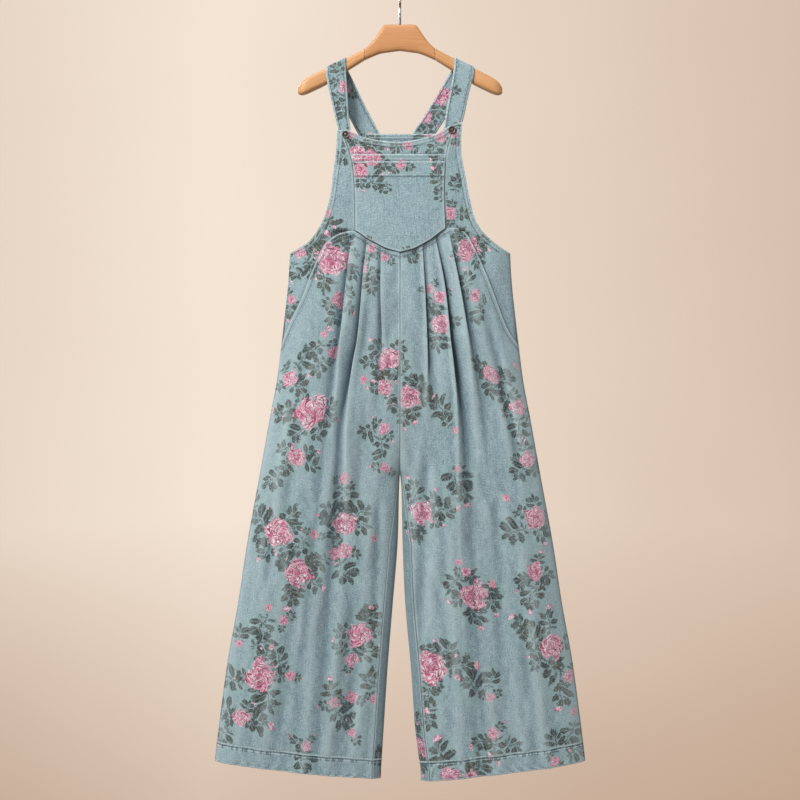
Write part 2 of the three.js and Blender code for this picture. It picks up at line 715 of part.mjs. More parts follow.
function makeBibPocketOuter() {
  const bandEdge = 358;
  const raise = 2 * (POCKET_WALL + LAYER_GAP);
  const raiseAt = (level) => raise + 0.6 * (1 - smooth((level - bandEdge + 2) / 3));
  const levels = [329.5, 338, bandEdge - 2, bandEdge + 1, 372, 404, 432, 452, 463];
  const grid = bibGrid(() => 329.5, levels, raiseAt);
  const geometry = shellGeometry(grid, POCKET_WALL, false, BIB_PINS);
  return namedMesh('bib_pocket_outer', geometry, denimMaterial());
}

function makeBackBodice() {
  const levels = [BACK_TOP_DROP, 285, 305, 335, 370, 405, 435, 460, 478, 491, 505];
  const shares = [1, 0.97, 0.88, 0.74, 0.56, 0.36, 0.14, -0.14, -0.36, -0.56, -0.74, -0.88, -0.97, -1];
  const grid = levels.map((level) => {
    const reach = straightValueAt(BACK_ARMHOLE, 'drop', level, 'out');
    return shares.map((share) => {
      const out = Math.abs(share) * reach;
      const depth = Math.max(clothDepth(RIGHT, out, level), HALF_SEAM_GAP);
      return cornerPoint(Math.sign(share), out, depth, level);
    });
  });
  const pins = { firstRow: 'z', lastRow: 'z' };
  return namedMesh('back_bodice', shellGeometry(grid, CLOTH_WALL, false, pins), denimMaterial());
}

// Outline of the hanger at one place, seen along the arm, and grown for a strap over it
function hangerSection(out, angle, grow) {
  const top = straightValueAt(HANGER, 'out', out, 'top');
  const bottom = straightValueAt(HANGER, 'out', out, 'bottom');
  const half = straightValueAt(HANGER, 'out', out, 'half') + grow;
  const tall = (bottom - top) / 2 + grow;
  const bulge = (value) => Math.sign(value) * Math.abs(value) ** 0.75;
  const y = -half * bulge(Math.cos(angle));
  return new THREE.Vector3(out, y, -(top + bottom) / 2 + tall * bulge(Math.sin(angle)));
}

// Straps: up the front, over the hanger and down to the back bodice
function strapRows(side) {
  const name = sideName(side);
  const rows = [];
  const hidden = CLOTH_WALL + 0.6 + LAYER_GAP + 0.3;
  for (const row of STRAP_FRONT[name]) {
    const points = [[row.innerOut, row.innerDrop], [row.outerOut, row.outerDrop]];
    rows.push(points.map(([out, drop]) => {
      const depth = clothDepth(side, out, Math.max(drop, 262)) - hidden;
      return new THREE.Vector3(out, -depth, -drop);
    }));
  }
  const grow = STRAP_WALL + 0.5;
  for (const degrees of [0, 22, 45, 68, 90, 112, 135, 158, 180]) {
    const angle = (degrees * Math.PI) / 180;
    rows.push([
      hangerSection(STRAP_OVER.innerOut, angle, grow),
      hangerSection(STRAP_OVER.outerOut, angle, grow),
    ]);
  }
  const from = rows[rows.length - 1];
  const end = STRAP_BACK_END[name];
  const start = from[0].clone().add(from[1]).multiplyScalar(0.5);
  const along = new THREE.Vector3(end.out - start.x, 0, -end.drop - start.z).normalize();
  const across = new THREE.Vector3(-along.z, 0, along.x).multiplyScalar(STRAP_WIDTH / 2);
  const startAcross = from[1].clone().sub(from[0]).multiplyScalar(0.5);
  const endDepth = clothDepth(side, end.out, end.drop) + LAYER_GAP + 0.3 + STRAP_WALL;
  for (const share of [0.2, 0.4, 0.6, 0.78, 0.9, 1]) {
    const middle = start.clone().lerp(new THREE.Vector3(end.out, endDepth, -end.drop), share);
    middle.y = start.y + (endDepth - start.y) * smooth(share / 0.8);
    const half = startAcross.clone().lerp(across, smooth(share * 1.6));
    half.y = 0;
    rows.push([middle.clone().sub(half), middle.clone().add(half)]);
  }
  return rows;
}

function makeStrap(side) {
  const grid = strapRows(side).map(([inner, outer]) => [0, 0.5, 1].map((share) => {
    const point = inner.clone().lerp(outer, share);
    point.x *= side;
    return point;
  }));
  const geometry = shellGeometry(grid, STRAP_WALL, side === RIGHT, {});
  return namedMesh(`strap_${sideName(side)}`, geometry, denimMaterial());
}

// Solid of hanger sections between two places, closed by flat ends
function hangerGeometry(places) {
  const sides = 20;
  const positions = [];
  const indices = [];
  for (const place of places) {
    for (let k = 0; k < sides; k += 1) {
      const point = hangerSection(Math.abs(place), (k * 2 * Math.PI) / sides, 0);
      positions.push(place, point.y, point.z);
    }
  }
  for (let i = 0; i < places.length - 1; i += 1) {
    for (let k = 0; k < sides; k += 1) {
      const next = (k + 1) % sides;
      const [a, b] = [i * sides + k, i * sides + next];
      const [c, d] = [(i + 1) * sides + next, (i + 1) * sides + k];
      indices.push(a, c, b, a, d, c);
    }
  }
  const last = (places.length - 1) * sides;
  for (let k = 1; k < sides - 1; k += 1) {
    indices.push(0, k, k + 1);
    indices.push(last, last + k + 1, last + k);
  }
  const geometry = new THREE.BufferGeometry();
  geometry.setAttribute('position', new THREE.Float32BufferAttribute(positions, 3));
  geometry.setIndex(indices);
  geometry.computeVertexNormals();
  return geometry;
}

function makeHangerCentre() {
  const places = [-67.9, -55, -44, -36, -30, 0, 30, 36, 44, 55, 67.9];
  return namedMesh('hanger_centre', hangerGeometry(places), woodMaterial());
}

function makeHangerArm(side) {
  const outs = [ARM_JOINT_OUT + 0.2, 86, 105, 124, 144, 165, 182, 191, 197];
  const places = side === LEFT ? outs.map((out) => -out).reverse() : outs;
  return namedMesh(`hanger_arm_${sideName(side)}`, hangerGeometry(places), woodMaterial());
}

// The hook is bent in the plane across the hanger; its inner top is the origin
function makeHook() {
  const ring = HOOK_INNER_RADIUS + WIRE_RADIUS;
  const points = [new THREE.Vector3(0, 0, -60.7), new THREE.Vector3(0, 0.6, -53)];
  points.push(new THREE.Vector3(0, 9, -45.5));
  for (let degrees = -28; degrees <= 205; degrees += 18) {
    const angle = (degrees * Math.PI) / 180;
    const height = -HOOK_INNER_RADIUS + ring * Math.sin(angle);
    points.push(new THREE.Vector3(0, ring * Math.cos(angle), height));
  }
  const path = new THREE.CatmullRomCurve3(points);
  const section = new THREE.Shape();
  section.absarc(0, 0, WIRE_RADIUS, 0, 2 * Math.PI, false);
  const geometry = new THREE.ExtrudeGeometry(section, {
    steps: 40, curveSegments: 5, bevelEnabled: false, extrudePath: path,
  });
  return namedMesh('hanger_hook', geometry, hookMaterial());
}

function makeButton(side, out, drop) {
  const profile = [
    [0, 0], [5.4, 0], [5.6, 1.2], [BUTTON_RADIUS, 1.5], [BUTTON_RADIUS, 2.6],
    [6.3, BUTTON_THICKNESS], [5.2, 3.0], [2.6, 2.7], [0, 3.1],
  ].map(([radius, height]) => new THREE.Vector2(radius, height));
  const geometry = new THREE.LatheGeometry(profile, 20);
  geometry.rotateX(Math.PI);
  const stand = clothDepth(side, out, drop) + 0.6;
  geometry.translate(side * out, -stand, -drop);
  return namedMesh(`button_${sideName(side)}`, geometry, buttonMaterial());
}

function makeJumpsuit() {
  const group = new THREE.Group();
  group.name = 'floral_denim_jumpsuit';
  group.add(makeHook(), makeHangerCentre());
  group.add(makeBibCentre(), makeBibPocketInner(), makeBibPocketOuter(), makeBackBodice());
  for (const side of [LEFT, RIGHT]) {
    group.add(makeHangerArm(side), makeStrap(side), makeSideFront(side));
    group.add(makeLegFront(side), makeLegBack(side));
  }
  group.add(makeButton(LEFT, 105, 277), makeButton(RIGHT, 100, 268));
  return group;
}

export default makeJumpsuit();
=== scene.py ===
import math
from functools import partial

import bmesh
import bpy
import numpy as np
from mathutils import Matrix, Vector
from mathutils.kdtree import KDTree


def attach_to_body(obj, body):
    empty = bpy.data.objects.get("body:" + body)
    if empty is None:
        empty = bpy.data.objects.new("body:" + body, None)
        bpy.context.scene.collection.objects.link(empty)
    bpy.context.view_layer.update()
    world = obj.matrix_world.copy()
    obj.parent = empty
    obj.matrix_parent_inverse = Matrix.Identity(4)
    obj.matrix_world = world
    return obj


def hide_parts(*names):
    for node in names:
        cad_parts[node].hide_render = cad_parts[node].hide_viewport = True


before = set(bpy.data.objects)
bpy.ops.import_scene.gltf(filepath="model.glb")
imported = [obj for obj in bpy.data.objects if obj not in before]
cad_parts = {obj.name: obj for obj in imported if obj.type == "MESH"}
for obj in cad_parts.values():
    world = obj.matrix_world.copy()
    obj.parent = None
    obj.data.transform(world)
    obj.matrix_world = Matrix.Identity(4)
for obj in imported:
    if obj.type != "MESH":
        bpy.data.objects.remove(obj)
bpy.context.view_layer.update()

# Floral denim dungaree jumpsuit on a wooden hanger, in metres. The front faces -Y.
# Every "drop" is a distance below the hang point, every "out" a distance from the centre line.

LEFT = -1
RIGHT = 1
SIDES = {LEFT: "left", RIGHT: "right"}

# Camera: level with the middle of the garment, at a portrait distance
PHOTO_WIDTH_AT_GARMENT = 1.552
CAMERA_HEIGHT = -0.7885
HALF_VIEW_DEGREES = 18.0

CLOTH_WALL = 0.0015
POCKET_WALL = 0.0012
STRAP_WALL = 0.0020
HALF_SEAM_GAP = 0.00003
LAYER_GAP = 0.0003
BEHIND_POCKET_EDGE = 0.0026
BAND_RISE = 0.0008

UNDERARM_DROP = 0.505
UNDERARM_OUT = 0.2139
NECK_SIDE_DROP = 0.268
BIB_CORNER_DROP = 0.463
BACK_TOP_DROP = 0.269
RISE_TOP_DROP = 0.800
CROTCH_DROP = 0.932
INSEAM_START = 0.0012
INSEAM_FULL = 0.017
INSEAM_FULL_DROP = 1.066
HEM_HEIGHT = 0.036
LOWEST_SHAPED_DROP = 1.505

POCKET_TOP_DROP = 0.3295
POCKET_BAND_DROP = 0.358
INNER_POCKET_TOP_DROP = 0.315

WIRE_RADIUS = 0.0022
HANGER_ROUNDING = 0.58
HOOK_INNER_RADIUS = 0.022
ARM_JOINT_OUT = 0.068
ARM_TIP_OUT = 0.197
STRAP_WIDTH = 0.038
STRAP_OVER_OUTS = (0.105, 0.143)
STRAP_BACK_ENDS = {LEFT: (0.048, 0.292), RIGHT: (0.031, 0.292)}
BUTTONS = {LEFT: (0.105, 0.277), RIGHT: (0.100, 0.268)}
HEM = {LEFT: (1.521, 1.487), RIGHT: (1.526, 1.487)}


def metres(rows):
    """Rows of lengths given in millimetres."""
    return [tuple(value / 1000 for value in row) for row in rows]


class Table:
    """Named columns of lengths from rows in millimetres; places are looked up in the first column."""

    def __init__(self, names, rows):
        data = np.array(metres(rows))
        self.keys = data[:, 0]
        self.columns = dict(zip(names.split(), data.T))

    def line(self, name, at):
        return np.interp(at, self.keys, self.columns[SIDES.get(name, name)])

    def curve(self, name, at):
        """Value of a column between the rows, without corners at the rows."""
        keys, values = self.keys, self.columns[SIDES.get(name, name)]
        at = np.clip(np.asarray(at, dtype=float), keys[0], keys[-1])
        i = np.clip(np.searchsorted(keys, at, side="right") - 1, 0, len(keys) - 2)
        slopes = np.gradient(values, keys)
        slopes[1:-1] = (values[2:] - values[:-2]) / (keys[2:] - keys[:-2])
        span = keys[i + 1] - keys[i]
        t = (at - keys[i]) / span
        start_share = (1 + 2 * t) * (1 - t) ** 2
        end_share = t * t * (3 - 2 * t)
        bend = span * (t * (1 - t) ** 2 * slopes[i] - t * t * (1 - t) * slopes[i + 1])
        return values[i] * start_share + values[i + 1] * end_share + bend


# Tables of the pattern, in millimetres. left and right are values of out on the two sides,
# or of drop where the first column is out.

BODY = Table("drop half_depth outer", [
    (250, 16.2, 214), (340, 18, 214), (420, 21, 214), (505, 25, 214), (562, 28, 217), (620, 29.5, 223),
    (684, 31, 230.5), (754, 31, 239.5), (820, 31, 252), (932, 30, 272), (1066, 29, 296.5),
    (1184, 27, 314.5), (1289, 26, 333.5), (1401, 25, 349), (1500, 24, 361),
])
INNER_LEG = Table("drop left right", [
    (932, 0.3, 0.3), (960, 1.6, 2.5), (1066, 4.5, 4.8), (1184, 14, 10), (1308, 24, 21), (1432, 32, 30),
    (1525, 38, 43),
])
PANEL_TOP = Table("out left right", [
    (0, 505, 505), (27, 497, 497.5), (47, 487, 487), (59, 481, 480), (88, 463, 459), (110, 465.5, 457),
    (130, 474.5, 470), (149, 494, 506), (172, 545, 560), (188, 587, 602), (205, 621, 645),
    (214, 640, 661), (226, 669, 677), (230.5, 684, 684),
])
NECKLINE = Table("x drop", [
    (-121, 268), (-98, 269), (-74, 281), (-29, 290), (6, 291), (47, 284), (78, 272), (95, 260),
    (121, 251),
])
PRINCESS = Table("drop left right", [
    (250, 110, 102), (282, 107, 97), (304, 100, 91), (338, 91.5, 86.5), (400, 87.5, 85.5),
    (463, 86.5, 87.5),
])
SIDE_BEHIND = Table("drop left right", [
    (463, 86.8, 87.8), (471, 104, 106), (480, 121, 122), (494, 139, 134), (545, 162, 155),
    (587, 178, 173), (638, 201, 191), (667, 214, 206), (684, 220, 219),
])
ARMHOLE = Table("drop left right", [
    (250, 120.5, 120.5), (310, 123.5, 118.5), (359, 130, 127), (400, 135.5, 134.5), (440, 148, 145),
    (466, 162, 161), (484, 177, 181), (494, 193, 195), (505, 213.9, 213.9),
])
BACK_ARMHOLE = Table("drop out", [
    (269, 68), (300, 73), (340, 83), (380, 96), (420, 114), (450, 134), (475, 161), (490, 186),
    (505, 213.9),
])
HANGER = Table("out top bottom half", [
    (0, 61, 111, 7.5), (30, 61.5, 115, 7.5), (36, 68, 116, 7.5), (44, 80, 118.5, 7.6), (55, 95, 123, 7.7),
    (68, 107, 129, 7.9), (86, 117, 140, 8.2), (105, 127, 152, 8.6), (124, 136.5, 164.5, 9.2),
    (144, 146.5, 177, 9.8), (165, 156.5, 187.5, 10.4), (182, 166, 195, 10.6), (191, 173, 197, 8.6),
    (197, 181, 195, 4.6),
])
PLEAT_COLUMNS = "drop out depth run soft"
PLEATS = {
    LEFT: [
        Table(PLEAT_COLUMNS, [
            (497, 37, 1.6, 14, 1), (581, 38, 5, 18, 1.4), (658, 36, 6, 22, 3), (720, 36, 2, 26, 10),
            (800, 38, 0, 30, 12), (932, 45, 0, 30, 12), (1066, 55, 0, 30, 12), (1308, 80, 0, 30, 12),
            (1521, 98, 0, 30, 12),
        ]),
        Table(PLEAT_COLUMNS, [
            (481, 64, 1.8, 14, 1), (548, 72, 8, 20, 1.4), (610, 77, 13, 24, 2), (674, 84, 16, 28, 3),
            (722, 94, 16, 30, 5), (786, 103, 14, 32, 8), (850, 109, 11, 34, 12), (912, 111, 8, 36, 16),
            (1010, 115, 5, 40, 20), (1184, 126, 3, 45, 24), (1521, 152, 2, 50, 26),
        ]),
        Table(PLEAT_COLUMNS, [
            (466, 91, 0.3, 8, 1), (492, 96, 2, 14, 1.4), (545, 103, 6, 20, 2), (641, 114, 7, 26, 4),
            (690, 120, 7, 28, 7), (770, 128, 6, 32, 12), (819, 134, 5, 34, 16), (932, 143, 3, 36, 20),
            (1066, 154, 2, 40, 24), (1521, 205, 0, 50, 26),
        ]),
    ],
    RIGHT: [
        Table(PLEAT_COLUMNS, [
            (492, 44, 1.6, 14, 1), (593, 50, 5, 18, 1.4), (706, 55, 6, 24, 3), (745, 56, 4, 26, 7),
            (800, 57, 1, 30, 12), (932, 57, 0, 30, 12), (1066, 62, 0, 30, 12), (1308, 82, 0, 30, 12),
            (1521, 100, 0, 30, 12),
        ]),
        Table(PLEAT_COLUMNS, [
            (476, 69, 1.8, 14, 1), (561, 86, 9, 20, 1.4), (625, 94, 13, 24, 2), (674, 99, 16, 28, 3),
            (722, 106, 16, 30, 5), (786, 113, 13, 32, 8), (850, 118, 10, 34, 12), (932, 121, 7, 36, 16),
            (1066, 126, 4, 40, 22), (1521, 152, 2, 50, 26),
        ]),
        Table(PLEAT_COLUMNS, [
            (462, 94, 0.3, 8, 1), (485, 99, 2, 14, 1.4), (513, 105, 5, 18, 1.6), (567, 116, 7, 22, 2),
            (625, 127, 7, 26, 4), (690, 138, 6, 28, 8), (800, 150, 3, 34, 14), (932, 160, 1.5, 36, 20),
            (1066, 168, 0, 40, 24), (1521, 208, 0, 50, 26),
        ]),
    ],
}
# Long soft folds as (from drop, from out, to drop, to out, width, rise)
FRONT_FOLDS = {
    LEFT: metres([
        (860, 134, 1500, 186, 14, 4), (960, 42, 1260, 52, 10, -4), (940, 215, 1530, 272, 18, 3.5),
        (1090, 96, 1530, 112, 16, -3),
    ]),
    RIGHT: metres([
        (560, 154, 900, 228, 10, -5.8), (860, 50, 1220, 36, 13, -6), (880, 90, 1530, 122, 16, 4),
        (940, 168, 1530, 212, 18, -3), (980, 232, 1530, 292, 18, 3),
    ]),
}
BACK_FOLDS = {
    LEFT: metres([
        (530, 62, 1530, 120, 16, 4), (560, 120, 1500, 205, 18, -4), (760, 180, 1530, 285, 18, 3.5),
    ]),
    RIGHT: metres([
        (540, 70, 1530, 136, 16, -4), (540, 110, 1500, 190, 17, 4), (720, 172, 1530, 272, 18, -3.5),
    ]),
}
# Both edges of each strap, step by step up the front
STRAP_COLUMNS = "step inner_out inner_drop outer_out outer_drop"
STRAP_FRONT = {
    LEFT: Table(STRAP_COLUMNS, [
        (0, 94, 300, 116, 300), (1, 95.5, 266, 119, 269), (2, 99, 237, 126, 240),
        (3, 101, 206, 133, 208), (4, 103, 174, 138.5, 186),
    ]),
    RIGHT: Table(STRAP_COLUMNS, [
        (0, 80, 300, 114, 300), (1, 84, 266, 118.5, 262), (2, 89, 232, 125, 236),
        (3, 96, 196, 131, 206), (4, 101, 168, 137, 182),
    ]),
}


# Curves and surfaces of the garment


def smooth(value):
    t = np.clip(value, 0, 1)
    return t * t * (3 - 2 * t)


def bell(distance):
    return np.exp(-(distance**2))


def soft_noise(x, y, scale, seed):
    """Smooth noise from -1 to 1 over a plane."""
    lattice = np.random.default_rng(seed).random((128, 128)) * 2 - 1
    u, v = np.asarray(x) / scale + 40.0, np.asarray(y) / scale + 40.0
    i, j = np.floor(u).astype(int), np.floor(v).astype(int)
    s, t = smooth(u - i), smooth(v - j)
    i, j, k, l = i % 128, j % 128, (i + 1) % 128, (j + 1) % 128
    low = lattice[i, j] * (1 - s) + lattice[k, j] * s
    high = lattice[i, l] * (1 - s) + lattice[k, l] * s
    return low * (1 - t) + high * t


def point(side, out, y, drop):
    return np.stack(np.broadcast_arrays(side * np.asarray(out), y, -np.asarray(drop)), axis=-1)


def path(outs, drops):
    return np.stack(np.broadcast_arrays(outs, drops), axis=-1)


def outer_edge(drop):
    return BODY.curve("outer", drop)


def inner_edge(side, drop):
    return np.where(np.asarray(drop) <= CROTCH_DROP, 0.0, INNER_LEG.curve(side, drop))


def loop_depth(half, start, end, out):
    """Depth of a flattened loop of cloth between its two folds."""
    t = np.minimum(1, np.abs(out - (start + end) / 2) / ((end - start) / 2))
    return half * np.sqrt(1 - t**3)


def cloth_depth(side, out, drop):
    """Distance of the cloth from the garment's middle plane."""
    half = BODY.curve("half_depth", drop)
    outer = outer_edge(drop)
    body = loop_depth(half, -outer, outer, out)
    leg = loop_depth(half, inner_edge(side, drop), outer, out)
    closed = np.clip((drop - RISE_TOP_DROP) / (CROTCH_DROP - RISE_TOP_DROP), 0, 1)
    away = smooth(out / 0.070)
    opened = np.sqrt(1 - closed**2) * (1 - away) + (1 - smooth(closed)) * away
    return leg + (body - leg) * opened


def relief_share(side, out, drop):
    """Folds and creases die away towards the outer and inner edges of a leg."""
    from_outer = smooth((outer_edge(drop) - out) / 0.045)
    from_inner = smooth((out - inner_edge(side, drop)) / 0.025)
    return from_outer * (1 + (from_inner - 1) * smooth((drop - RISE_TOP_DROP) / 0.120))


def fold_relief(folds, out, drop):
    relief = 0.0
    for from_drop, from_out, to_drop, to_out, width, rise in folds:
        t = (drop - from_drop) / (to_drop - from_drop)
        middle = from_out + (to_out - from_out) * t
        strength = smooth(t / 0.25) * smooth((1.15 - t) / 0.3)
        relief = relief - rise * strength * bell((out - middle) / width)
    return relief


def pleat_relief(side, out, drop):
    """Depth of the pleats, the reach of their strips in under the fold above, and the shade there."""
    relief, under, shade = 0.0, 0.0, 0.0
    for pleat in PLEATS[side]:
        edge, run, soft = (pleat.curve(name, drop) for name in ("out", "run", "soft"))
        depth = np.maximum(0, pleat.curve("depth", drop))
        past = out - edge + soft / 2
        step = np.clip(past / soft, 0, 1)
        fading = np.clip(1 - np.maximum(past - soft, 0) / run, 0, 1) ** 1.5
        roll = bell(np.minimum(past, 0) / 0.008) * (1 - step)
        relief = relief + depth * step * fading - 0.18 * depth * roll
        crisp = 1 - smooth((soft - 0.004) / 0.008)
        under = under + np.minimum(0.45 * depth, 0.0055) * crisp * step * fading
        hollow = step * (1 - smooth((past - soft - 0.002) / (0.55 * run)))
        shade = shade + np.clip(depth / 0.009, 0, 1) * hollow * (0.45 + 0.55 * crisp)
    return relief, under, np.clip(shade, 0, 1)


def creases(side, out, drop, face):
    """Soft troughs and ridges that washed cloth keeps, uneven and mostly upright."""
    seed = 11 + (side > 0) + 2 * (face > 0)
    lean = out - 0.12 * (drop - 0.9)
    broad = 0.0032 * soft_noise(lean, drop * 0.26, 0.040, seed)
    middle = 0.0018 * soft_noise(lean, drop * 0.34, 0.019, seed + 20)
    return broad + middle + 0.0004 * soft_noise(out, drop * 0.8, 0.008, seed + 40)


def hem_drop(side, out):
    """The hem rises a little from the inner leg outwards."""
    inner_drop, outer_drop = HEM[side]
    inner = inner_edge(side, inner_drop)
    share = np.clip((out - inner) / (outer_edge(1.5) - inner), 0, 1)
    return inner_drop + (outer_drop - inner_drop) * share


def inseam_width(drop):
    t = np.clip((drop - CROTCH_DROP) / (INSEAM_FULL_DROP - CROTCH_DROP), 0, 1)
    return INSEAM_START + (INSEAM_FULL - INSEAM_START) * t


def seam_pucker(out, drop, seam_drop):
    """Little gathers of the cloth just below a sewn seam."""
    near = np.exp(-np.abs(drop - seam_drop - 0.004) / 0.010)
    return 0.0006 * near * soft_noise(out, drop * 0.2, 0.0055, 77)


def hem_form(side, out, drop):
    """The turned hem stands a little proud, with a groove at its stitching and a roped edge."""
    above = hem_drop(side, out) - drop
    groove = 0.0007 * bell((above - HEM_HEIGHT) / 0.0022)
    proud = -0.0006 * smooth((HEM_HEIGHT - above) / 0.004)
    roping = 0.0006 * np.sin((out + above * 1.2) / 0.0031) * smooth((0.012 - above) / 0.008)
    return groove + proud + roping


def leg_front_surface(side, out, drop):
    pleats, under, _ = pleat_relief(side, out, drop)
    relief = pleats + fold_relief(FRONT_FOLDS[side], out, drop) + creases(side, out, drop, -1)
    relief = relief + seam_pucker(out, drop, PANEL_TOP.line(side, out)) + hem_form(side, out, drop)
    share = relief_share(side, out, drop)
    depth = cloth_depth(side, out, drop) - relief * share
    return point(side, out - under * share, -np.maximum(depth, HALF_SEAM_GAP), drop)


def leg_back_surface(side, out, drop):
    relief = fold_relief(BACK_FOLDS[side], out, drop) + creases(side, out, drop, 1)
    relief = (relief + hem_form(side, out, drop)) * relief_share(side, out, drop)
    return point(side, out, cloth_depth(side, out, drop) - relief, drop)


def side_front_surface(side, out, drop):
    """The side panel lies a little behind the pocket edge, set back along the form's own slope."""
    edge_out = np.where(np.asarray(drop) < BIB_CORNER_DROP, PRINCESS.curve(side, drop),
                        SIDE_BEHIND.line(side, drop) + 0.014)
    near = 1 - smooth((out - edge_out - 0.006) / 0.026)
    strength = 0.0006 + (BEHIND_POCKET_EDGE - 0.0006) * smooth((drop - 0.420) / 0.040)
    inside = np.where(np.asarray(drop) < UNDERARM_DROP, ARMHOLE.line(side, drop), outer_edge(drop)) - out
    pucker = 0.0005 * np.exp(-np.abs(inside - 0.010) / 0.006) * soft_noise(out, drop, 0.006, 78)
    relief = (0.6 * creases(side, out, drop, -1) + pucker) * smooth(inside / 0.02)
    inset = strength * near + relief
    ahead = np.minimum(outer_edge(drop), out + 0.0004)
    slope = (cloth_depth(side, ahead, drop) - cloth_depth(side, ahead - 0.0008, drop)) / 0.0008
    length = np.hypot(slope, 1)
    depth = np.maximum(cloth_depth(side, out, drop) - inset / length, HALF_SEAM_GAP)
    return point(side, out + inset * slope / length, -depth, drop)


def middle_relief(x, drop, height, scale, seed):
    return height * soft_noise(x, drop, scale, seed) + 0.0003 * soft_noise(x, drop, 0.012, seed + 1)


def bib_surface(raised, x, drop):
    out = np.abs(x)
    depth = np.where(np.asarray(x) < 0, cloth_depth(LEFT, out, drop), cloth_depth(RIGHT, out, drop))
    return point(1, x, -(depth + raised - middle_relief(x, drop, 0.0009, 0.045, 91)), drop)


def back_surface(x, drop):
    relief = middle_relief(x, drop, 0.0012, 0.05, 95) * smooth((UNDERARM_OUT - np.abs(x)) / 0.03)
    return point(1, x, np.maximum(cloth_depth(RIGHT, np.abs(x), drop) - relief, HALF_SEAM_GAP), drop)


# Meshes


def new_object(name, vertices, faces, materials):
    mesh = bpy.data.meshes.new(name)
    mesh.from_pydata([tuple(v) for v in vertices], [], faces)
    mesh.update()
    mesh.shade_smooth()
    for material in materials:
        mesh.materials.append(material)
    made = bpy.data.objects.new(name, mesh)
    bpy.context.scene.collection.objects.link(made)
    return made


def full_turn(count):
    return np.linspace(0, 2 * math.pi, count + 1)[:-1]


def unit(vectors):
    return vectors / np.maximum(np.linalg.norm(vectors, axis=-1, keepdims=True), 1e-12)


def grid_normals(grid, flip, pins):
    """Outward normals of a grid of points.

    The letters of pins are the axes that the normals of the first and last row and of the first
    and last column leave out."""
    down_step, across_step = unit(np.diff(grid, axis=0)), unit(np.diff(grid, axis=1))
    down, across = np.zeros_like(grid), np.zeros_like(grid)
    down[:-1] += down_step
    down[1:] += down_step
    across[:, :-1] += across_step
    across[:, 1:] += across_step
    normals = np.cross(unit(down), unit(across))
    if flip:
        normals = -normals
    for border, axis in zip((np.s_[0, :], np.s_[-1, :], np.s_[:, 0], np.s_[:, -1]), pins):
        normals[border][..., "xyz".index(axis)] = 0
    return unit(normals)


def shell(name, grid, wall, flip, pins, materials):
    """Closed thin shell. Faces: outer side first, then the inner side, then the rim."""
    rows, cols = grid.shape[:2]
    normals = grid_normals(grid, flip, pins)
    vertices = np.concatenate([grid.reshape(-1, 3), (grid - wall * normals).reshape(-1, 3)])
    layer = rows * cols
    at = np.arange(layer).reshape(rows, cols)
    outer = np.stack([at[:-1, :-1], at[1:, :-1], at[1:, 1:], at[:-1, 1:]], axis=-1).reshape(-1, 4)
    inner = outer[:, ::-1] + layer
    rim = []
    for edge in (at[0, ::-1], at[-1], at[:, 0], at[::-1, -1]):
        p, q = edge[:-1], edge[1:]
        rim.append(np.stack([q, p, p + layer, q + layer], axis=-1))
    faces = np.concatenate([outer, inner, *rim])
    if flip:
        faces = faces[:, ::-1]
    made = new_object(name, vertices, faces.tolist(), materials)
    slots = np.zeros(len(faces), dtype=np.int32)
    if len(materials) > 1:
        slots[len(outer) : len(outer) + len(inner)] = 1
    made.data.polygons.foreach_set("material_index", slots)
    return made


def store(obj, name, values, domain="POINT"):
    """Float vector per vertex or per corner, for the material."""
    attribute = obj.data.attributes.new(name, "FLOAT_VECTOR", domain)
    attribute.data.foreach_set("vector", np.ascontiguousarray(values, dtype=np.float32).ravel())


# Materials


def linear(*rgb):
    """Linear colour from the usual 0-255 numbers."""
    parts = [c / 255 for c in rgb]
    return (*(p / 12.92 if p <= 0.04045 else ((p + 0.055) / 1.055) ** 2.4 for p in parts), 1.0)


class Value:
    """Output of a shader node. Sums, products and so on with it make further nodes."""

    def __init__(self, graph, socket):
        self.graph = graph
        self.socket = socket

    def __add__(self, other):
        return self.graph.math("ADD", self, other)

    def __sub__(self, other):
        return self.graph.math("SUBTRACT", self, other)

    def __rsub__(self, other):
        return self.graph.math("SUBTRACT", other, self)

    def __mul__(self, other):
        return self.graph.math("MULTIPLY", self, other)

    def __truediv__(self, other):
        return self.graph.math("DIVIDE", self, other)

    def __or__(self, other):
        """The larger of the two."""
        return self.graph.math("MAXIMUM", self, other)

    def __abs__(self):
        return self.graph.math("ABSOLUTE", self)

    __radd__ = __add__
    __rmul__ = __mul__


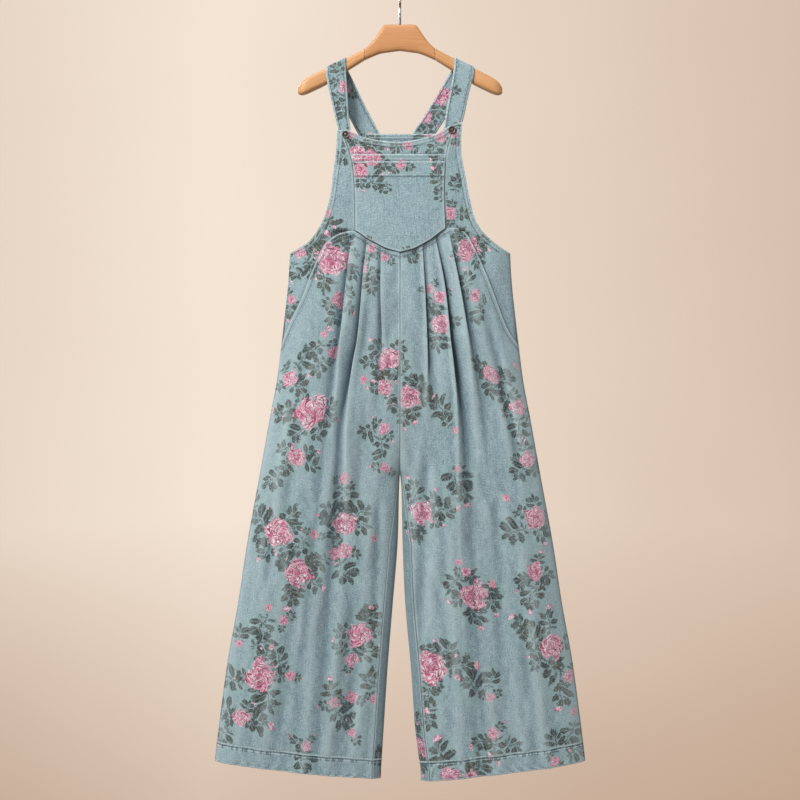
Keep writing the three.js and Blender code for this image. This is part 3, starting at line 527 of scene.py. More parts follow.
class Graph:
    """Short calls for the nodes of one material or group."""

    def __init__(self, tree):
        self.tree = tree

    def put(self, kind, inputs=None, **settings):
        node = self.tree.nodes.new(kind)
        for key, value in settings.items():
            setattr(node, key, value)
        for key, value in (inputs or {}).items():
            if isinstance(value, Value):
                self.tree.links.new(value.socket, node.inputs[key])
            else:
                node.inputs[key].default_value = value
        return node

    def get(self, output, kind, inputs=None, **settings):
        """One output of a new node."""
        return Value(self, self.put(kind, inputs, **settings).outputs[output])

    def math(self, operation, *values, clamp=False):
        return self.get(0, "ShaderNodeMath", dict(enumerate(values)), operation=operation, use_clamp=clamp)

    def length(self, x, y):
        return self.math("SQRT", x * x + y * y)

    def step(self, value, start, end):
        """0 at start and 1 at end, softly between them."""
        inputs = {"Value": value, "From Min": start, "From Max": end}
        return self.get("Result", "ShaderNodeMapRange", inputs, interpolation_type="SMOOTHSTEP")

    def mix(self, share, first, second):
        inputs = {"Factor": share, 6: first, 7: second}
        return self.get(2, "ShaderNodeMix", inputs, data_type="RGBA")

    def noise(self, vector, scale, detail=2.0, roughness=0.5):
        inputs = {"Vector": vector, "Scale": scale, "Detail": detail, "Roughness": roughness}
        return self.get("Fac", "ShaderNodeTexNoise", inputs)

    def ramp(self, value, stops):
        node = self.put("ShaderNodeValToRGB", {"Fac": value})
        ramp = node.color_ramp
        while len(ramp.elements) < len(stops):
            ramp.elements.new(0.5)
        for element, (place, colour) in zip(ramp.elements, stops):
            element.position = place
            element.color = colour
        return Value(self, node.outputs["Color"])

    def bump(self, height, strength, distance):
        inputs = {"Height": height, "Strength": strength, "Distance": distance}
        return self.get("Normal", "ShaderNodeBump", inputs)

    def attribute(self, name):
        return self.get("Vector", "ShaderNodeAttribute", attribute_name=name)

    def place(self):
        return self.get("Object", "ShaderNodeTexCoord")

    def split(self, vector):
        node = self.put("ShaderNodeSeparateXYZ", {"Vector": vector})
        return [Value(self, output) for output in node.outputs]

    def join(self, *parts):
        return self.get(0, "ShaderNodeCombineXYZ", dict(enumerate(parts)))


MOTIF_OUTPUTS = {"Color": "NodeSocketColor", "Mask": "NodeSocketFloat", "Halo": "NodeSocketFloat"}


def make_group(name, draw):
    """Group from a motif coordinate to a motif's colour, mask and halo."""
    group = bpy.data.node_groups.new(name, "ShaderNodeTree")
    group.interface.new_socket("Motif", in_out="INPUT", socket_type="NodeSocketVector")
    for title, kind in MOTIF_OUTPUTS.items():
        group.interface.new_socket(title, in_out="OUTPUT", socket_type=kind)
    graph = Graph(group)
    u, v, seed = graph.split(graph.get(0, "NodeGroupInput"))
    graph.put("NodeGroupOutput", dict(zip(MOTIF_OUTPUTS, draw(graph, u, v, seed))))
    return group


def rose(g, u, v, seed):
    """Full rose: frilled petals, deep in the middle and pale at their edges."""
    spread = g.join(u, v, seed * 5.3)
    warp = g.noise(spread, 1.5, 3.0) - 0.5
    radius = g.length(u, v)
    frilled = radius + warp * 1.35
    frill = g.noise(spread, 5.0, 2.0, 0.7) - 0.5
    mask = g.step(frilled + frill * 0.55, 0.86, 0.80)
    inputs = {"Vector": spread, "Angle": radius * 1.6 + warp}
    turned = g.get(0, "ShaderNodeVectorRotate", inputs, rotation_type="Z_AXIS")
    inputs = {"Vector": turned, "Scale": 3.0, "Randomness": 0.95}
    rim = g.get("Distance", "ShaderNodeTexVoronoi", inputs, feature="DISTANCE_TO_EDGE")
    petals = g.ramp(rim, [
        (0.0, linear(104, 40, 64)), (0.04, linear(172, 62, 104)), (0.085, linear(250, 232, 238)),
        (0.16, linear(224, 142, 174)), (0.32, linear(202, 88, 134)),
    ])
    flecks = g.step(g.noise(turned, 6.5, 3.0, 0.6), 0.55, 0.62)
    lit = g.mix(flecks * 0.85, petals, linear(250, 234, 240))
    dark = g.step(g.noise(turned, 4.2), 0.53, 0.62)
    deep = g.mix(dark * 0.76, lit, linear(158, 56, 96))
    heart = g.mix(g.step(frilled, 0.34, 0.05) * 0.6, deep, linear(168, 66, 108))
    return heart, mask, g.step(radius, 1.6, 0.8)


# Centre, angle, length and width of a sprig's leaves: the one at the tip, then three pairs
SPRIG_LEAVES = [
    ((0.0, 0.62), 90, 0.36, 0.20), ((0.38, 0.34), 46, 0.37, 0.21),
    ((0.44, -0.18), 14, 0.38, 0.21), ((0.26, -0.62), -20, 0.26, 0.09),
]


def leaf_shape(g, u, v, centre, degrees, length, width):
    """Coverage of one leaf and its midrib, in motif coordinates."""
    cosine, sine = math.cos(math.radians(degrees)), math.sin(math.radians(degrees))
    x, y = u - centre[0], v - centre[1]
    share = (x * cosine + y * sine) / length
    away = abs(y * cosine - x * sine)
    inside = g.step((1.0 - share * share) * width - away, -0.01, 0.03)
    return inside, g.step(away, 0.035, 0.012) * inside


def sprig(g, u, v, seed):
    """Leaf sprig: a stem with three pairs of leaves, one more at the tip, and at times a bud."""
    spread = g.join(u, v, seed * 3.1)
    bend = (g.noise(spread, 0.9, 1.0) - 0.5) * 1.3
    texture = g.noise(spread, 7.0, 3.0, 0.75)
    rough = (texture - 0.5) * 0.58
    bent = u + bend + rough
    raised = v + rough * 0.6
    mirrored = abs(bent)
    inside, rib = leaf_shape(g, mirrored, raised, *SPRIG_LEAVES[0])
    for leaf in SPRIG_LEAVES[1:]:
        other_inside, other_rib = leaf_shape(g, mirrored, raised, *leaf)
        inside = inside | other_inside
        rib = rib | other_rib
    stem = g.step(mirrored, 0.05, 0.02) * g.step(abs(v), 0.90, 0.84)
    mask = (inside | stem) * g.step(texture, 0.30, 0.38)
    kind = g.step(g.noise(g.join(seed, seed, seed), 1.9, 0.0), 0.46, 0.60)
    shading = g.step(texture, 0.42, 0.64)
    green = g.mix(shading, linear(38, 42, 46), linear(92, 98, 96))
    olive = g.mix(shading, linear(54, 56, 52), linear(114, 114, 106))
    ribbed = g.mix(rib * 0.5, g.mix(kind, green, olive), linear(140, 158, 152))
    flecked = g.mix(g.step(texture, 0.64, 0.70) * 0.6, ribbed, linear(156, 176, 168))
    from_bud = g.length(bent, raised - 0.94)
    budding = g.step(g.noise(g.join(seed, 2.0, seed), 2.7, 0.0), 0.50, 0.52)
    bud = g.step(from_bud, 0.20, 0.15) * budding
    bud_colour = g.mix(g.step(texture, 0.44, 0.56), linear(196, 92, 134), linear(244, 214, 226))
    return g.mix(bud, flecked, bud_colour), mask | bud, g.step(g.length(u, v), 1.4, 0.7)


PRINT_LAYERS = ("leaves_low", "leaves_middle", "leaves_high", "roses")


def new_material(name, draw, *settings):
    """Material whose shader inputs are what the draw function returns."""
    material = bpy.data.materials.new(name)
    material.use_nodes = True
    material.node_tree.nodes.clear()
    graph = Graph(material.node_tree)
    surface = graph.get("BSDF", "ShaderNodeBsdfPrincipled", draw(graph, *settings))
    graph.put("ShaderNodeOutputMaterial", {"Surface": surface})
    return material


def denim_ground(g, light, middle, dark):
    """Washed denim: slubs along the cloth, mottling and a fine twill. Returns colour and height."""
    s, t, tone = g.split(g.attribute("cloth"))
    slubs = g.noise(g.join(s * 520.0, t * 70.0, tone), 1.0, 3.0, 0.7)
    weft = g.noise(g.join(s * 150.0, t * 560.0, tone), 1.0, 2.0, 0.7)
    mottle = g.noise(g.join(s, t, tone), 60.0, 3.0, 0.65)
    cloud = g.noise(g.join(s * 2.4, t, tone), 4.0, 2.0, 0.55)
    speckle = g.noise(g.join(s, t, tone), 380.0, 2.0, 0.75)
    thread = slubs * 0.60 + weft * 0.40
    worn = thread * 0.40 + speckle * 0.48 + mottle * 0.12
    base = g.ramp(worn, [(0.38, dark), (0.50, middle), (0.61, light)])
    washed = g.mix(g.step(cloud, 0.36, 0.68) * 0.20, base, light)
    twill = g.math("SINE", (s + t * 0.9) * 6283.0)
    return washed, twill * 0.15 + thread, mottle


def stitch_dent_shade(g, distance, pucker):
    """Painted shade of a dented row of stitching: a dark line in the dent, with short dark puckers beside it.
    """
    line = g.step(abs(distance), 0.0019, 0.0007) * (pucker * 0.45 + 0.55)
    beside_it = g.step(abs(distance - 0.0012), 0.0046, 0.0022)
    return line | beside_it * pucker * 0.50


def seam_wear_and_painted_shade(g, colour, mottle, pale, deep):
    """Worn, puckered paler bands beside the seams, edges and hem, and painted shade: a dark groove along each
    seam, dark dents and puckers along the stitched rows, by the free edges and at the hem, and the shade in
    folds. Ridges are painted paler, partly wear and partly painted highlight, and troughs darker, painted
    shade.
    """
    seam, edge, shade = g.split(g.attribute("edges"))
    edge_row, seam_row, ridge = g.split(g.attribute("rows"))
    s, t, _ = g.split(g.attribute("cloth"))
    # Paler on ridges, partly wear and partly painted highlight, and darker in troughs, painted shade.
    colour = g.mix((ridge | 0.0) * 0.34, colour, pale)
    colour = g.mix((ridge * -1.0 | 0.0) * 0.34, colour, deep)
    pucker = g.step(g.noise(g.join(s, t, 3.7), 250.0, 1.0), 0.50, 0.60)
    wobble = (mottle - 0.5) * 0.004
    pale_seam = g.step(seam + wobble, 0.0040, 0.0018) * 0.50
    pale_edge = g.step(edge + wobble, 0.0034, 0.0010) * 0.62
    pale_row = g.step(abs(edge_row + wobble + 0.0026), 0.0022, 0.0006) * 0.34
    worn = g.mix(pale_seam | pale_edge | pale_row, colour, pale)
    # Painted shade: the dark groove of each seam, the dents of the stitched rows and the dark puckers by the
    # free edges.
    groove = g.step(seam, 0.0014, 0.0006) * 0.60
    rows = stitch_dent_shade(g, edge_row, pucker) | stitch_dent_shade(g, seam_row, pucker)
    roping = g.step(edge, 0.0065, 0.0040) * pucker * 0.36
    # Painted shade in the dent of the hem's stitching and on the gathered cloth just below it; the pale line
    # just above it is wear.
    at_hem = g.step(t, 1.40, 1.42)
    gathers = g.step(g.noise(g.join(s * 210.0, t * 18.0, 1.3), 1.0, 0.0), 0.48, 0.55)
    hanging = g.step(edge_row, -0.0072, -0.0040) * g.step(edge_row, 0.0008, -0.0004)
    line = g.step(abs(edge_row), 0.0017, 0.0006) * (gathers * 0.30 + 0.70)
    hem_dark = line | hanging * gathers * 0.95
    hem_pale = g.step(abs(edge_row - 0.0028), 0.0020, 0.0010)
    worn = g.mix(hem_pale * at_hem * 0.85, worn, pale)
    lines = groove | roping | rows * 0.80 | hem_dark * at_hem * 0.78
    # All the painted shade, with the shade in folds, darkens the cloth towards deep, the colour of the
    # painted shade.
    return g.mix(lines | shade * 0.84, worn, deep)


def printed_denim(g):
    """Washed denim with the print in four layers, its worn seams, painted shade in seam grooves, stitch
    dents, troughs and folds, and a painted highlight on ridges.
    """
    shades = linear(176, 194, 199), linear(141, 165, 173), linear(98, 124, 136)
    colour, height, mottle = denim_ground(g, *shades)
    groups = {"leaves": make_group("sprig", sprig), "roses": make_group("rose", rose)}
    prints = []
    for name in PRINT_LAYERS:
        node = g.put("ShaderNodeGroup", node_tree=groups[name.split("_")[0]])
        g.tree.links.new(g.attribute(name).socket, node.inputs[0])
        prints.append([Value(g, output) for output in node.outputs])
    halo = prints[0][2] | prints[1][2] | prints[2][2] | prints[3][2]
    colour = g.mix(halo * 0.34, colour, linear(143, 175, 171))
    inked = g.step(height, 0.30, 0.62) * 0.16 + 0.84
    for ink, mask, _ in prints:
        colour = g.mix(mask * inked, colour, ink)
    return {
        # linear(50, 70, 84) is the colour of the painted shade; linear(190, 208, 211) that of the worn bands
        # and of the painted highlight on ridges.
        "Base Color": seam_wear_and_painted_shade(g, colour, mottle, linear(190, 208, 211), linear(50, 70, 84)),
        "Roughness": mottle * 0.12 + 0.80,
        "Normal": g.bump(height, 0.4, 0.0005),
        "Sheen Weight": 0.08,
        "Sheen Roughness": 0.6,
        "Specular IOR Level": 0.2,
    }


def denim_wrong_side(g):
    """The wrong side is paler: the print does not show through."""
    shades = linear(188, 204, 206), linear(160, 182, 188), linear(128, 152, 160)
    colour, height, mottle = denim_ground(g, *shades)
    return {
        "Base Color": colour,
        "Roughness": mottle * 0.12 + 0.82,
        "Normal": g.bump(height, 0.35, 0.0004),
        "Specular IOR Level": 0.2,
    }


def stitching_thread(g):
    strands = g.noise(g.place(), 900.0)
    return {
        "Base Color": g.mix(strands, linear(150, 176, 178), linear(206, 222, 218)),
        "Roughness": 0.75,
        "Normal": g.bump(strands, 0.3, 0.0002),
    }


def wood(g, slope, pale, warm, brown):
    """Wood whose grain follows an arm that falls by slope for each metre out."""
    x, y, z = g.split(g.place())
    sloped = z + abs(x) * slope
    across = (sloped + g.noise(g.place(), 14.0) * 0.012) * 420.0
    grain = g.noise(g.join(x * 16.0, y * 120.0, across), 1.0, 4.0, 0.6)
    fibres = g.noise(g.join(x * 60.0, y * 900.0, sloped * 2600.0), 1.0, 2.0, 0.6)
    base = g.ramp(grain, [(0.30, brown), (0.46, warm), (0.66, pale)])
    shaded = g.mix(g.step(g.noise(g.place(), 18.0, 3.0), 0.4, 0.7) * 0.35, base, warm)
    return {
        "Base Color": g.mix(g.step(fibres, 0.56, 0.70) * 0.25, shaded, brown),
        "Roughness": grain * 0.14 + 0.40,
        "Normal": g.bump(fibres, 0.08, 0.0003),
        "Coat Weight": 0.18,
        "Coat Roughness": 0.34,
    }


def chrome(g):
    # Darker and paler patches of base colour at random along the wire: painted reflection.
    cloud = g.step(g.noise(g.place(), 45.0, 0.0), 0.42, 0.58)
    return {
        "Base Color": g.mix(cloud, linear(120, 114, 108), linear(196, 194, 190)),
        "Roughness": g.noise(g.place(), 30.0, 1.0) * 0.08 + 0.34,
        "Metallic": 1.0,
    }


def antique_metal(g):
    """Dark metal, rubbed bright where it stands proud."""
    grime = g.noise(g.place(), 900.0, 4.0, 0.6)
    bright = g.split(g.attribute("relief"))[0] * g.step(grime, 0.30, 0.62)
    return {
        "Base Color": g.mix(bright, linear(38, 38, 42), linear(128, 124, 122)),
        "Roughness": grime * 0.30 + 0.28,
        "Normal": g.bump(grime, 0.25, 0.0002),
        "Metallic": 0.9,
    }


def paper(g):
    """Pale studio paper that glows by its own emission, painted light; the glow is brightest left of the
    middle and darkens away from there and towards the floor, painted shade.
    """
    x, _, z = g.split(g.place())
    # Painted shade: darker towards the floor and away from a spot left of the middle, with a little random
    # patchiness.
    lower = (-1.6 - z | 0.0) * (0.29 - x * 0.03)
    share = g.math("ADD", abs(x + 1.2) * 0.150 + lower, g.noise(g.place(), 0.7) * 0.10, clamp=True)
    tint = g.mix(share, linear(246, 231, 216), linear(184, 155, 133))
    return {
        # Mostly dark base colour, so that the glow, painted light, and not the lamps, gives the paper its
        # brightness.
        "Base Color": g.mix(0.72, tint, linear(30, 26, 22)),
        "Emission Color": tint,
        "Emission Strength": 0.82,
        "Roughness": 0.9,
        "Specular IOR Level": 0.0,
    }


# Print: the places of the flowers and leaf sprigs as (sideways, drop, reach) on the front

ROSES = metres([
    # Bib and straps
    (-81, 313, 17), (-54, 323, 17), (-76, 348, 16), (16, 298, 10), (2, 335, 10), (-93, 276, 10),
    (-58, 276, 10), (78, 280, 12), (101, 274, 12), (-109, 183, 12), (80, 196, 18), (45, 233, 16),
    (-140, 428, 10), (97, 430, 12),
    # Hips and pleats
    (-194, 503, 12), (-210, 594, 10), (-132, 517, 31), (-116, 598, 16), (-146, 662, 8), (-99, 513, 10),
    (-54, 497, 10), (-70, 536, 10), (-31, 513, 10), (56, 575, 10), (76, 591, 14), (78, 643, 19),
    (132, 497, 23), (146, 587, 14),
    # Upper legs
    (-128, 697, 12), (-213, 746, 16), (-23, 711, 23), (-27, 765, 16), (-70, 750, 8), (16, 783, 23),
    (107, 847, 8), (-171, 812, 33), (-200, 897, 19), (-31, 843, 12), (-29, 918, 10), (178, 740, 17),
    (227, 802, 17), (225, 724, 8), (246, 903, 17), (204, 977, 8), (-107, 940, 12), (111, 920, 8),
    # Lower legs
    (260, 1015, 23), (260, 1118, 17), (43, 1006, 25), (126, 1118, 10), (142, 1163, 27), (113, 1099, 8),
    (178, 1142, 8), (-231, 1046, 29), (-165, 1046, 10), (-107, 1025, 23), (-107, 1078, 16),
    (-52, 1054, 8), (-126, 1085, 12), (-194, 1122, 27), (-223, 1211, 10), (-252, 1186, 8),
    (-310, 1258, 8), (-78, 1239, 27), (-93, 1289, 14), (-268, 1316, 31), (-211, 1318, 10),
    (-305, 1398, 17), (-93, 1361, 12), (-128, 1370, 12), (-91, 1429, 10), (-49, 1365, 10),
    (-180, 1452, 10), (58, 1303, 31), (173, 1359, 10), (293, 1264, 25), (326, 1322, 14), (336, 1390, 8),
    (299, 1483, 10), (180, 1429, 12), (97, 1514, 21), (136, 1510, 12),
])
LEAVES = metres([
    # Bib and straps
    (-45, 307, 17), (-35, 333, 16), (-49, 367, 17), (-29, 381, 12), (66, 307, 17), (74, 329, 16),
    (72, 362, 17), (78, 393, 14), (-124, 206, 14), (-120, 148, 16), (-114, 230, 16), (-111, 319, 16),
    (107, 371, 16), (122, 430, 14), (70, 175, 12), (54, 259, 14), (-8, 303, 12), (120, 284, 14),
    # Hips and pleats
    (-159, 484, 19), (-130, 455, 19), (-202, 540, 17), (-213, 614, 17), (-114, 474, 17), (-101, 484, 16),
    (-146, 561, 21), (-126, 629, 19), (-93, 546, 16), (-54, 546, 17), (-56, 571, 16), (21, 509, 16),
    (78, 676, 19), (72, 614, 16), (116, 474, 16), (151, 497, 17), (151, 624, 17), (128, 556, 16),
    (-171, 540, 17),
    # Upper legs
    (-165, 691, 19), (-184, 707, 23), (-155, 726, 19), (-39, 734, 17), (-58, 715, 16), (35, 759, 17),
    (49, 779, 19), (78, 804, 23), (-223, 810, 23), (-142, 821, 21), (-194, 851, 21), (-243, 940, 23),
    (-171, 909, 17), (-39, 880, 21), (-62, 851, 16), (178, 765, 19), (155, 726, 19), (200, 746, 19),
    (204, 788, 19), (231, 843, 21), (233, 924, 19), (-14, 734, 17), (8, 823, 16), (-194, 759, 17),
    (264, 917, 16), (87, 827, 16),
    # Lower legs
    (219, 1041, 23), (287, 1037, 17), (252, 1167, 23), (281, 1128, 17), (237, 1138, 17), (25, 963, 21),
    (39, 1046, 17), (83, 998, 23), (113, 940, 27), (120, 967, 19), (103, 1143, 21), (178, 1171, 23),
    (146, 1200, 21), (136, 1128, 17), (-213, 1012, 23), (-268, 1021, 25), (-281, 982, 19),
    (-256, 1076, 21), (-194, 1070, 19), (-107, 977, 25), (-105, 1118, 23), (-78, 1002, 19),
    (-136, 1006, 19), (-159, 1099, 21), (-208, 1161, 23), (-223, 1099, 17), (-268, 1225, 25),
    (-264, 1254, 23), (-310, 1239, 17), (-62, 1273, 23), (-58, 1206, 23), (-113, 1264, 17),
    (-330, 1326, 25), (-252, 1361, 25), (-233, 1283, 19), (-340, 1386, 23), (-275, 1405, 23),
    (-340, 1438, 19), (-111, 1394, 25), (-54, 1332, 25), (-132, 1347, 19), (-184, 1481, 21),
    (-196, 1444, 16), (87, 1270, 23), (116, 1297, 25), (49, 1355, 25), (54, 1403, 21), (29, 1273, 19),
    (140, 1337, 27), (175, 1324, 17), (252, 1240, 23), (233, 1219, 19), (287, 1211, 19), (295, 1308, 21),
    (264, 1293, 17), (314, 1355, 23), (330, 1433, 23), (297, 1444, 19), (184, 1458, 23), (155, 1444, 17),
    (78, 1471, 25), (151, 1495, 25), (49, 1510, 17), (340, 1464, 19), (217, 1452, 17),
])

LEAF_SCALE = 1.36
ROSE_SCALE = 1.10


def split_layers(motifs, count):
    """Share motifs among layers so that no two in a layer overlap."""
    layers = [[] for _ in range(count)]
    for motif in motifs:
        def room(layer):
            return min((math.dist(m[:2], motif[:2]) - m[2] - motif[2] for m in layer), default=1.0)
        layer = max(layers, key=room)
        if room(layer) > -0.8 * motif[2]:
            layer.append(motif)
    return layers


def turned_from(place, roses):
    """Direction in which a sprig grows: away from the nearest rose."""
    near = min(roses, key=lambda rose: math.dist(place, rose[:2]))
    return math.atan2(place[0] - near[0], near[1] - place[1])


def back_bouquets(seed):
    """Bouquets for the back, spread as loosely as those on the front."""
    rng = np.random.default_rng(seed)
    roses, leaves = [], []
    for drop in np.arange(0.31, 1.52, 0.118):
        for x in np.arange(-0.33, 0.34, 0.132):
            place = (x + rng.uniform(-0.034, 0.034), drop + rng.uniform(-0.036, 0.036))
            if rng.random() < 0.12:
                continue
            reach = rng.uniform(0.015, 0.030)
            roses.append((*place, reach))
            turn = rng.uniform(0, 2 * math.pi)
            for k in range(rng.integers(3, 6)):
                angle = turn + k * 1.35 + rng.uniform(-0.3, 0.3)
                away = reach + rng.uniform(0.008, 0.016)
                size = rng.uniform(0.015, 0.023)
                leaves.append((place[0] + away * math.sin(angle), place[1] - away * math.cos(angle), size))
            bud = (place[0] + 0.045 * math.cos(turn), place[1] + 0.045 * math.sin(turn))
            roses.append((*bud, rng.uniform(0.007, 0.010)))
    return roses, leaves


def collars(roses, seed):
    """Leaves that peep out all round the larger roses."""
    rng = np.random.default_rng(seed)
    leaves = []
    for x, drop, reach in roses:
        count = 0 if reach < 0.009 else 2 if reach < 0.015 else 3 if reach < 0.022 else 4
        turn = rng.uniform(0, 2 * math.pi)
        for k in range(count):
            angle = turn + k * 2 * math.pi / count + rng.uniform(-0.5, 0.5)
            size = min(max(reach * 1.05, 0.013), 0.022) * rng.uniform(0.85, 1.15)
            away = reach * 0.70 + size * 0.62
            leaves.append((x + away * math.sin(angle), drop - away * math.cos(angle), size / LEAF_SCALE))
    return leaves


def motif_layers(roses, leaves, seed):
    """Layers of the print from the lowest to the topmost, as (x, drop, reach, turn)."""
    sprigs = [(x, drop, size * LEAF_SCALE, turned_from((x, drop), roses))
              for x, drop, size in leaves + collars(roses, seed)]
    spun = [(x, drop, reach * ROSE_SCALE, 70.3 * x + 50.1 * drop) for x, drop, reach in roses]
    return dict(zip(PRINT_LAYERS, [*split_layers(sprigs, 3), spun]))


def apply_print(obj, places, cloth, layers):
    """Give every face the motif nearest to it, with the place in it at each corner.

    places are the vertices as (sideways, drop) seen from the front or back, and cloth the same
    vertices measured along the cloth."""
    mesh = obj.data
    loops = np.zeros(len(mesh.loops), dtype=np.int32)
    mesh.loops.foreach_get("vertex_index", loops)
    sizes = np.zeros(len(mesh.polygons), dtype=np.int32)
    mesh.polygons.foreach_get("loop_total", sizes)
    starts = np.concatenate([[0], np.cumsum(sizes)[:-1]])
    middles = np.add.reduceat(cloth[loops], starts) / sizes[:, None]
    for name, motifs in layers.items():
        near = []
        for x, drop, reach, turn in motifs:
            gaps = np.hypot(places[:, 0] - x, places[:, 1] - drop)
            nearest = gaps.argmin()
            if gaps[nearest] < reach * 1.6:
                near.append((*(cloth[nearest] + (x, drop) - places[nearest]), reach, turn))
        values = np.full((len(loops), 3), 9.0)
        if near:
            near = np.array(near)
            gaps = np.linalg.norm(middles[:, None] - near[None, :, :2], axis=2) / near[:, 2]
            chosen = near[np.repeat(np.argmin(gaps, axis=1), sizes)]
            reach, turn = chosen[:, 2], chosen[:, 3]
            along, down = ((cloth[loops] - chosen[:, :2]) / reach[:, None]).T
            values[:, 0] = along * np.cos(turn) + down * np.sin(turn)
            values[:, 1] = along * np.sin(turn) - down * np.cos(turn)
            values[:, 2] = (reach * 977.0 + turn * 3.7) % 7.0
        store(obj, name, values, "CORNER")


# Panels of cloth

# Where the column lines lie between the centre, the pleats and the fold at the side
FRONT_SHARES = (0.02, 0.06, 0.14, 0.25, 0.38, 0.52, 0.66, 0.78, 0.87, 0.93, 0.97, 1.0)
AFTER_PLEAT_SHARES = (0.05, 0.12, 0.21, 0.32, 0.44, 0.57, 0.69, 0.79, 0.87, 0.93, 0.97, 1.0)
INSEAM_WRAP_SHARES = np.array([0.08, 0.16, 0.3, 0.45, 0.6, 0.75, 0.88, 1.0])
HEM_ROWS_ABOVE = (0.054, 0.047, 0.042, 0.039, 0.037, 0.036, 0.035, 0.0335, 0.031, 0.027, 0.021, 0.015,
                  0.010, 0.006, 0.003, 0.0015, 0.0)
HEM_ROWS_START = 1.420
PLEAT_ROWS_END = 0.740
BACK_SEAM_OUT = 0.003


def front_column_outs(side, drop):
    """Sideways places of the column lines of a front leg panel; they follow the pleats."""
    drop = np.asarray(drop, dtype=float)
    inner = np.where(drop < CROTCH_DROP, 0.0, inner_edge(side, drop) + inseam_width(drop))
    start = inner + HALF_SEAM_GAP
    outs = [start]
    shares = FRONT_SHARES
    for pleat in PLEATS[side]:
        edge, soft = pleat.curve("out", drop), pleat.curve("soft", drop)
        before = edge - soft / 2
        outs += [start + (before - start) * share for share in shares]
        outs += [before + soft * share for share in (0.25, 0.5, 0.75, 1.0)]
        start = edge + soft / 2
        shares = AFTER_PLEAT_SHARES
    outer = outer_edge(drop)
    sweep = np.linspace(0, 1, 41)[1:]
    outs += [start + (outer - start) * math.sin(share * math.pi / 2) ** 1.15 for share in sweep]
    return np.stack(outs, axis=-1)


def own_columns(side, drops):
    """Sideways place of each column line at that column's own drop."""
    return np.diagonal(front_column_outs(side, drops), axis1=1, axis2=2)


def hem_rows(side, outs):
    """Drops of the rows down to the hem, closer together at the hem."""
    ends = hem_drop(side, outs)
    reach = ends - HEM_ROWS_ABOVE[0] - HEM_ROWS_START
    rows = [HEM_ROWS_START + reach * share for share in (0.25, 0.5, 0.75)]
    return np.array(rows + [ends - above for above in HEM_ROWS_ABOVE])


def leg_front_grid(side):
    count = front_column_outs(side, 0.7).shape[-1]
    low, high = np.full(count, 0.440), np.full(count, 0.720)
    for _ in range(30):
        middle = (low + high) / 2
        seam = PANEL_TOP.curve(side, own_columns(side, middle[None])[0])
        low, high = np.where(middle < seam, middle, low), np.where(middle < seam, high, middle)
    tops = low + 2 * HALF_SEAM_GAP
    upper = tops + (PLEAT_ROWS_END - tops) * np.linspace(0, 1, 61)[:-1, None] ** 1.15
    levels = np.linspace(PLEAT_ROWS_END, HEM_ROWS_START, 140)[:, None] + np.zeros(count)
    lower = hem_rows(side, front_column_outs(side, LOWEST_SHAPED_DROP))
    drops = np.concatenate([upper, levels, lower])
    outs = own_columns(side, np.minimum(drops, LOWEST_SHAPED_DROP))
    return leg_front_surface(side, np.minimum(outs, outer_edge(drops)), drops), outs, drops


def leg_back_grid(side):
    """Points of a back leg, which comes round the inner leg, and the column at that fold."""
    sweep = 0.5 + 0.5 * np.cos(np.linspace(0, math.pi, 60))
    wrap = INSEAM_WRAP_SHARES
    upper = np.linspace(UNDERARM_DROP + 2 * HALF_SEAM_GAP, CROTCH_DROP - 0.0005, 96)
    middle = np.linspace(CROTCH_DROP, HEM_ROWS_START, 100)
    levels = np.concatenate([upper, middle])[:, None] + np.zeros(len(sweep) + len(wrap))
    start = inner_edge(side, LOWEST_SHAPED_DROP)
    hem_outs = [start + (outer_edge(LOWEST_SHAPED_DROP) - start) * sweep, start + INSEAM_FULL * wrap]
    drops = np.concatenate([levels, hem_rows(side, np.concatenate(hem_outs))])
    shaped = np.minimum(drops, LOWEST_SHAPED_DROP)
    above = drops[:, :1] < CROTCH_DROP
    inner = np.where(above, BACK_SEAM_OUT, inner_edge(side, shaped))
    n = len(sweep)
    back_outs = inner[:, :n] + (outer_edge(shaped)[:, :n] - inner[:, :n]) * sweep
    back = leg_back_surface(side, back_outs, drops[:, :n])
    back[:, 0, 1] = HALF_SEAM_GAP
    seam_out = HALF_SEAM_GAP + (BACK_SEAM_OUT - HALF_SEAM_GAP) * (1 - wrap)
    above_wrap = leg_back_surface(side, seam_out, drops[:, n:])
    reach = (inseam_width(shaped[:, n:]) - HALF_SEAM_GAP) * wrap
    below_wrap = leg_front_surface(side, inner[:, n:] + reach, drops[:, n:])
    wrapped = np.where(above[:, :, None], above_wrap, below_wrap)
    return np.concatenate([back, wrapped], axis=1), n - 1


def side_front_grid(side):
    top = float(neck_at(side, PRINCESS.line(side, NECK_SIDE_DROP)))
    levels = [np.linspace(top, 0.284, 7)[:-1], np.linspace(0.284, 0.4629, 60)]
    levels += [np.linspace(BIB_CORNER_DROP, UNDERARM_DROP, 44)[:-1], np.linspace(UNDERARM_DROP, 0.6837, 60)]
    levels = np.concatenate(levels)[:, None]
    inner = np.where(levels < BIB_CORNER_DROP, PRINCESS.curve(side, levels) + HALF_SEAM_GAP,
                     SIDE_BEHIND.line(side, levels))
    outer = np.where(levels < UNDERARM_DROP, ARMHOLE.curve(side, levels), outer_edge(levels))
    outs = inner + (outer - inner) * np.sin(np.linspace(0, math.pi / 2, 46)) ** 1.1
    rise = neck_at(side, outs) - neck_at(side, inner)
    drops = levels + rise * (1 - smooth((levels - NECK_SIDE_DROP) / 0.060))
    return side_front_surface(side, outs, drops), outs, drops


def neck_at(side, out):
    return NECKLINE.curve("drop", side * np.asarray(out))


def bib_top(share):
    side = LEFT if share < 0 else RIGHT
    return float(neck_at(side, abs(share) * PRINCESS.line(side, NECK_SIDE_DROP)))


